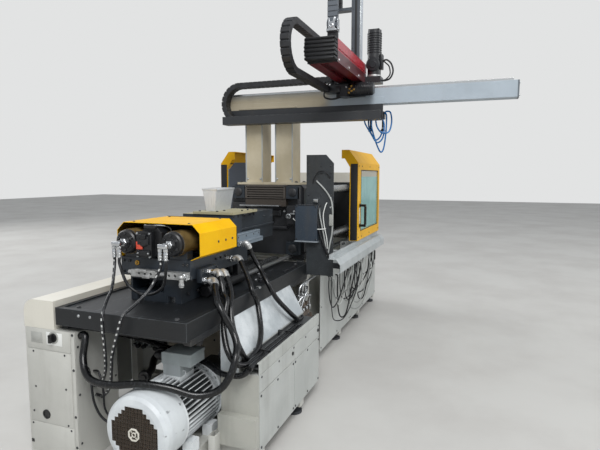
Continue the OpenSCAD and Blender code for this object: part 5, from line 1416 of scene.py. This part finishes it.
@dataclass
class Guarding:
    """Conduits on the guard plate, channel trim and the gates' seals and plates."""

    plate_x: float = 1787.0
    channel: float = 786.0
    gate: float = 719.0
    edge_x: Span = (2516.0, 3314.0)
    wires: int = 18
    rng: random.Random = field(default_factory=lambda: random.Random(7))

    def build(self) -> None:
        """Makes the guards' small parts."""
        pipes = Shape(WIRE_GREY)
        for finish, d, path in (
                (WIRE_GREY, 13, [(1779, -521, 1618), (1779, -597, 1542), (1779, -650, 1456),
                                 (1780, -662, 1345)]),
                (WIRE_GREY, 13, [(1780, -660, 1252), (1779, -655, 1180), (1778, -640, 1103),
                                 (1776, -625, 1010)]),
                (WIRE_GREY, 12, [(1777, -548, 1400), (1770, -556, 1330), (1768, -578, 1230),
                                 (1770, -600, 1120), (1774, -620, 1000)]),
                (WIRE_BLACK, 22, [(1780, -545, 1420), (1764, -540, 1370), (1758, -538, 1300),
                                  (1758, -560, 1180), (1764, -596, 1080), (1772, -632, 1000)]),
                (WIRE_WHITE, 9, [(1786, -610, 1440), (1772, -600, 1410), (1768, -585, 1340),
                                 (1770, -592, 1256), (1776, -612, 1150), (1782, -620, 1060)]),
                (WIRE_BLACK, 9, [(1780, -640, 1640), (1770, -600, 1690), (1768, -540, 1690),
                                 (1772, -500, 1640), (1782, -490, 1600)])):
            pipes.use(finish).tube(path, d)
        pipes.piece("guard_conduits")
        x = self.plate_x
        parts = Shape(GREY_PLATE).box((1766, x), (-666, -634), (1252, 1344), 3)
        parts.use(DULL).pan_screws(grid(x, (-450, -560, -640), (1500, 1680, 1740)), NEAR, 9)
        parts.pan_screws(grid(1740, (-528, -362), (1136, 1406)), NEAR, 8)
        parts.box((1736, 1741), (-543, -347), (1416, 1422), 1.5)
        parts.use(BRIGHT).hex_screws(grid(x, -640, (1480, 1400)), NEAR, 8)
        parts.box((1760, x), (-540, -500), (1440, 1470), 4)
        parts.piece("guard_parts")
        rail = Shape(GROUND)
        for s in (-1, 1):
            rail.box((1572, 3358), on_side(s, 700, 704), (1046, 1050), 0.8)
        rail.piece("gate_rails")
        self.gate_trim(-1, "operator_gate", "front_gate_trim")
        self.gate_trim(1, "back_gate", "rear_gate_trim")
        screws = Shape(DULL)
        for s in (-1, 1):
            screws.pan_screws(grid(range(1640, 3340, 240), s * self.channel, 958), (0, s, 0), 8)
            screws.box((2200, 2260), on_side(s, 622, 640), (1036, 1052), 3)
        screws.piece("channel_screws")
        self.loose_wires()

    def gate_trim(self, side: int, body: str, name: str) -> None:
        """Makes the seals, the plate, the latches and the screws of the gate on that side."""
        near, far = self.edge_x
        trim = Shape(SEAL)
        face = on_side(side, self.gate, self.gate + 3.4)
        for x in ((near, near + 6), (far - 6, far)):
            trim.box(x, face, (1136, 1714), 1)
        for z in ((1134, 1141), (1709, 1716)):
            trim.box(self.edge_x, face, z, 1)
        trim.box((2393.5, 2400.5), on_side(side, 650, 716), (1056, 1770), 1.5)
        trim.use(PALE_PLATE).box((2466, 2488), on_side(side, 719.5, 722), (1206, 1366), 0.8)
        trim.use(DULL).pan_screws(grid((2430, 2560, 2900, 3360), side * 720, (1080, 1750)), (0, side, 0), 8)
        trim.use(KNOB)
        for z in ((1172, 1208), (1362, 1398)):
            trim.box((2458, 2496), on_side(side, 719.6, 724), z, 2)
        trim.piece(name, body)

    def loose_wires(self) -> None:
        """Hangs the loom under the operator side channel, from the channel to the bed."""
        finishes = (WIRE_BLACK, WIRE_BLACK, WIRE_GREY, WIRE_WHITE)
        for k in range(self.wires):
            x = 2160 + k * 62 + self.rng.uniform(-30, 30)
            out = self.rng.uniform(0, 150)
            low = self.rng.uniform(230, 560)
            sway = self.rng.uniform(-10, 130)
            high = self.rng.uniform(640, 860)
            last = x + sway * 1.6
            route = [(x, -712, 1007.5), (x, -712, 975), (x + sway * 0.3, -680 - out * 0.5, 810),
                     (x + sway * 0.7, -630 - out, 660), (x + sway, -590 - out * 0.5, low + 70),
                     (x + sway * 1.25, -556, low + 20), (x + sway * 1.5, -528, low + 110),
                     (last, -520, (low + high) / 2 + 60), (last, -522, high - 20), (last, -500.5, high)]
            Hose(f"loom_wire_{k}", route, self.rng.choice((9, 11, 14)), finishes[k % len(finishes)],
                 sides=8, stiffness="limp").build()


@dataclass
class BedSides:
    """Seams, latches, louvres, screws and valve pipes along the bed and the rear side."""

    panel: float = 673.0
    bed: float = 500.0
    end: float = 4330.0
    valves: float = -488.0
    slat: float = 22.0

    def build(self) -> None:
        """Makes the bed's small parts."""
        trim = Shape(DULL)
        trim.pan_screws(grid((360, 600, 860, 900, 1140, 1380), -self.panel, (120, 425)), FRONT, 9)
        trim.pan_screws(grid((370, 620, 870, 1100, 1380), -self.panel, 532), FRONT, 8)
        trim.pan_screws(grid((370, 640, 880, 930, 1380, 1430, 1880), self.panel, (130, 440, 740)), REAR, 9)
        for s in (-1, 1):
            trim.pan_screws(grid((1990, 2500, 2980, 3030, 3600, 4290), s * self.bed, (130, 500, 860)),
                            (0, s, 0), 9)
        trim.piece("panel_screws")
        latches = Shape(KNOB)
        for x in (850, 1370):
            latches.stud((x, -self.panel, 500), FRONT, (13, 4), (10, 6), 16)
            latches.stud((x, self.panel, 600), REAR, (13, 4), (10, 6), 16)
        for x in (2940, 4250):
            for s in (-1, 1):
                latches.box((x, x + 40), on_side(s, self.bed, self.bed + 12), (560, 680), 4)
        latches.piece("panel_latches")
        slats = Shape(PANEL)
        for y, span in ((self.panel, (1010, 1290)), (self.bed, (3200, 3480)), (self.panel, (1480, 1760))):
            for z in (250 + k * self.slat for k in range(9)):
                slats.prism([(y, z), (y + 8, z), (y, z + 14)], "x", span)
        slats.piece("rear_louvres")
        self.tray()
        self.valve_pipes()
        cover = Shape(DULL)
        for s in (-1, 1):
            cover.pan_screws(grid((3980, 4120, 4290), s * self.bed, 1640), (0, s, 0), 9)
        cover.pan_screws(grid(self.end, (-460, 0, 460), (940, 1300, 1660)), AWAY, 9)
        cover.piece("housing_screws")

    def tray(self) -> None:
        """Makes the slots in the tray's rim and the straps over the hoses."""
        tray = Shape(LEDGE)
        for x in range(345, 345 + 42 * 25, 25):
            tray.box((x, x + 12), (-672, -659), (617.5, 621), 0.6)
        tray.piece("tray_rim_slots")
        straps = Shape(KNOB)
        for x in (520, 900):
            straps.box((x, x + 14), (-658, -552), (626, 630), 1)
            for y in ((-661, -657), (-553, -549)):
                straps.box((x, x + 14), y, (590, 630), 1)
        straps.piece("tray_straps")

    def valve_pipes(self) -> None:
        """Makes the pipes, the plugs and the bolts of the valve block."""
        pipes = Shape(BRIGHT)
        for x in (1518, 1590, 1662):
            pipes.lathe((x, -466, 698), UP, [(24, 0), (24, 14), (20, 17)], 6)
            pipes.tube([(x, -466, 700), (x, -466, 735), (x + 8, -470, 770), (x + 40, -486, 800),
                        (x + 90, -496, 812), (x + 170, -497, 812)], 16)
            pipes.stud((x, self.valves, 600), FRONT, (15, 22), (10, 26), 14)
        bolts = grid((1500, 1560, 1620, 1680), self.valves, (180, 300, 420, 520))
        pipes.use(DULL).hex_screws(bolts, FRONT, 12)
        pipes.use(GROUND)
        pipes.tube([(1420, -470, 640), (1440, -480, 660), (1470, -500, 700), (1500, -520, 720),
                    (1560, -540, 716), (1640, -520, 690), (1690, -488, 640), (1710, -488, 560)], 18)
        pipes.tube([(1420, -520, 640), (1450, -530, 700), (1480, -540, 750), (1540, -530, 780),
                    (1600, -500, 770)], 14)
        pipes.piece("valve_pipes")


AIR_ROUTES = (
    [(2120, -915, 2186), (2098, -908, 2150), (2110, -900, 2080), (2130, -920, 1990), (2150, -950, 1900),
     (2166, -974, 1862), (2180, -994, 1900), (2178, -1010, 2020), (2168, -1016, 2130), (2165, -1014, 2176),
     (2165, -1004, 2190)],
    [(2200, -900, 2200), (2204, -880, 2214), (2190, -862, 2174), (2150, -866, 2090), (2120, -905, 2000),
     (2112, -950, 1940), (2126, -994, 1980), (2144, -1002, 2080), (2150, -985, 2142)],
    [(2128, -930, 2160), (2104, -936, 2130), (2098, -950, 2070), (2106, -990, 2020), (2130, -1044, 2030),
     (2152, -1062, 2110), (2162, -1050, 2190), (2165, -1020, 2204), (2165, -1002, 2196)],
    [(2140, -850, 2186), (2120, -838, 2170), (2108, -842, 2110), (2118, -880, 2040), (2136, -930, 1966),
     (2150, -966, 1990), (2152, -985, 2040)])
MOTOR_CABLES = (
    ("traverse_cable", 15, "traverse", [(1884.5, -620, 2430), (1858, -618, 2424), (1848, -572, 2370),
                                        (1852, -560, 2304), (1862, -612, 2282), (1876, -672, 2292),
                                        (1886, -700, 2316), (1888, -702, 2332.5)]),
    ("servo_cable", 14, "kick", [(2060, -999, 2600), (2060, -1030, 2604), (2058, -1066, 2570),
                                 (2056, -1082, 2510), (2056, -1060, 2456), (2058, -1020, 2440),
                                 (2060, -990.5, 2442)]),
    ("servo_cable_low", 11, "kick", [(2100, -990.5, 2450), (2106, -1020, 2462), (2110, -1048, 2500),
                                     (2108, -1040, 2560), (2094, -1012, 2590), (2080, -999.5, 2600)]))


@dataclass
class BeamRobot:
    """Trim of the beam robot: fins, bolts, plates, brackets, cables and air lines."""

    servo: Point = (2060.0, -925.0, 2469.5)
    motor: Span = (1890.0, 2352.0)
    arm: Span = (2125.0, -790.0)
    chain_y: float = -575.0
    column_face: float = 1990.0
    air: float = 13.0

    def build(self) -> None:
        """Makes the robot's small parts."""
        self.motors()
        self.kick_arm()
        self.chain_bracket()
        self.vertical_arm()
        self.wrist()
        for k, route in enumerate(AIR_ROUTES):
            Hose(f"air_line_{k}", route, self.air, AIR_BLUE, "gripper", stiffness="limp", lay="loose",
                 sides=10).build()
        for name, d, body, route in MOTOR_CABLES:
            Hose(name, route, d, WIRE_BLACK, body).build()
        self.columns()

    def motors(self) -> None:
        """Makes the fins, the covers and the plugs of the two motors."""
        x, y, z = self.servo
        servo = Shape(SERVO)
        for k in range(9):
            servo.lathe((x, y, z + 190 + k * 19), UP, [(54, 0), (60, 2), (60, 9), (54, 11)], 28)
        servo.box((x - 46, x + 46), (y - 46, y + 46), (z + 372, z + 380), 6)
        servo.lathe((x - 50, y, z + 96), NEAR, [
            (57, -10), (57, 8), (51, 15), (30, 17), (28, 22), (0, 22)], 32)
        servo.box((x - 30, x + 30), (y - 74, y - 50), (z + 60, z + 180), 6)
        servo.use(MILLED).lathe((x, y, z + 1), UP, [(58, 0), (58, 14), (56, 16)], 28)
        servo.piece("kick_servo_parts", "kick")
        x, z = self.motor
        motor = Shape(SERVO)
        for k in range(8):
            motor.lathe((x, -800 - k * 17, z), FRONT, [(52, 0), (57, 2), (57, 8), (52, 10)], 28)
        motor.stud((x, -945, z), FRONT, (50, 8), (42, 16), 28)
        motor.box((1822, 1836), (-700, -610), (2330, 2376), 5)
        motor.use(BRASS)
        for i, (y, z) in enumerate(((-776, 2352), (-792, 2334), (-770, 2322), (-790, 2370), (-812, 2344))):
            motor.lathe((1842, y, z), NEAR, [(9, -8), (9, 8 + i), (6, 12 + i), (0, 12 + i)], 12)
        motor.use(BRIGHT).socket_screws(grid(1835, (-750, -570), 2366), NEAR, 9)
        motor.box((1828, 1836), (-690, -650), (2352, 2362), 1.5)
        motor.piece("traverse_motor_parts", "traverse")

    def kick_arm(self) -> None:
        """Makes the kick arm's screws, seal and ribbed end cap."""
        arm = Shape(BRIGHT).hex_screws(grid((1240, 1500, 1800), -857, 2440), FRONT, 9)
        arm.use(SEAL).box((1188, 1194), (-862, -648), (2417, 2577), 1.5)
        arm.use(END_CAP)
        for k in range(6):
            z, inset = 2432 + k * 26, 3 * abs(k - 2.5)
            arm.box((1109, 1150), (-864 + inset, -646 - inset), (z - 8, z + 8), 6)
            arm.box((1112, 1188), (-866, -858), (z - 7, z + 7), 3)
        arm.box((1215, 1240), (-670, -640), (2440, 2560), 4)
        arm.piece("kick_arm_parts", "kick")

    def chain_bracket(self) -> None:
        """Makes the bright bracket that the upper chain ends in."""
        y = self.chain_y
        bracket = Shape(CHROME)
        for span in ((-622, -617), (-528, -523)):
            bracket.prism([(2012, 2862), (2070, 2862), (2062, 2905), (2068, 2965), (2014, 2965),
                           (2020, 2905)], "y", span, 1.2)
        bracket.lathe((2041, -622, 2885), REAR, [(14, -6), (14, 105), (0, 105)], 20)
        half = [(45, 2862), (45, 2872), (23, 2885), (27, 2905), (30, 2940), (35, 2968), (19, 2968),
                (13, 2935)]
        fork = [(y + dy, z) for dy, z in half] + [(y - dy, z) for dy, z in reversed(half)]
        bracket.prism(fork, "x", (1984, 1989.5), 1)
        bracket.lathe((1985, y, 2902), NEAR, [(18, 0), (18, 5), (15, 7), (10, 7), (10, 2), (0, 2)], 20)
        bracket.piece("chain_bracket", "kick")

    def vertical_arm(self) -> None:
        """Makes the vertical arm's rail, belt, screws and end plates."""
        x, y = self.arm
        lift = Shape(BRIGHT).box((x - 2, x + 2), (y + 1, y + 8), (2180, 3396), 1)
        lift.use(SEAL).box((x - 1.5, x + 1), (y + 30, y + 50), (2240, 3380), 0.8)
        lift.use(DULL).socket_screws(grid(x, y + 66, range(2260, 3390, 160)), NEAR, 6)
        lift.use(MILLED).box((x - 4, x + 84), (y - 3, y + 83), (2136, 2210), 3)
        lift.box((x - 3, x + 83), (y - 3, y + 83), (3385, 3399.5), 3)
        lift.piece("vertical_arm_parts", "lift")

    def wrist(self) -> None:
        """Makes the wrist's dial, fittings and couplings."""
        wrist = Shape(CHROME).lathe((2128, -965, 2176), NEAR, [(24, 0), (24, 10), (21, 13)], 28)
        wrist.use(DIAL).lathe((2128, -965, 2176), NEAR, [(20.6, 9), (20.6, 13.4), (0, 13.4)], 28)
        wrist.use(BRIGHT).lathe((2165, -985, 2060), DOWN, [(10, -10), (10, 14), (7, 16)], 16)
        wrist.box((2128, 2132), (-940, -900), (2150, 2196), 2)
        wrist.use(AIR_BLUE).lathe((2165, -1000, 2190), FRONT, [(9, -3), (9, 8), (6, 10), (0, 10)], 12)
        wrist.lathe((2128, -915, 2186), NEAR, [(8, -3), (8, 8), (5, 10), (0, 10)], 12)
        wrist.piece("wrist_parts", "gripper")

    def columns(self) -> None:
        """Makes the columns' and the beam's small parts."""
        posts = Shape(CREAM)
        for s in (-1, 1):
            for z in (1700, 2005):
                posts.box((2177, 2182), on_side(s, 100, 190), (z - 8, z + 128), 2)
        posts.piece("column_plates")
        edges = Shape(CHANNEL)
        for y in ((-230, -220), (-72, -60), (60, 70), (218, 230)):
            edges.box((self.column_face - 2.5, self.column_face + 1), y, (1602, 2244), 1)
        edges.box((1983, 1986.5), (-560, 396), (2262, 2266), 0.8)
        edges.piece("column_edges")
        bolts = Shape(BRIGHT)
        bolts.hex_screws(grid(self.column_face, (-210, -80, 80, 210), (1630, 2215)), NEAR, 9)
        bolts.socket_screws(grid((2000, 2090), -2030, (2260, 2350)), FRONT, 8)
        bolts.piece("beam_bolts")
        Shape(BEAM).box((1975, 1986), (-270, 285), (2246, 2262), 2).piece("beam_cable_lip")


def main() -> None:
    """Builds the scene: camera, hoses, finishes and then each sub-assembly."""
    logging.basicConfig(level=logging.INFO, format="%(message)s")
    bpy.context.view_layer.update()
    Studio().build()
    Hoses().build()
    dress_nodes()
    for maker in (SwitchCabinet(), BayGear(), TableTop(), DriveMotor(), HoseFittings(), InjectionUnit(),
                  FeedGear(), PlatenGear(), Guarding(), BedSides(), BeamRobot()):
        LOG.info("building %s", type(maker).__name__)
        maker.build()


if __name__ == "__main__":
    main()
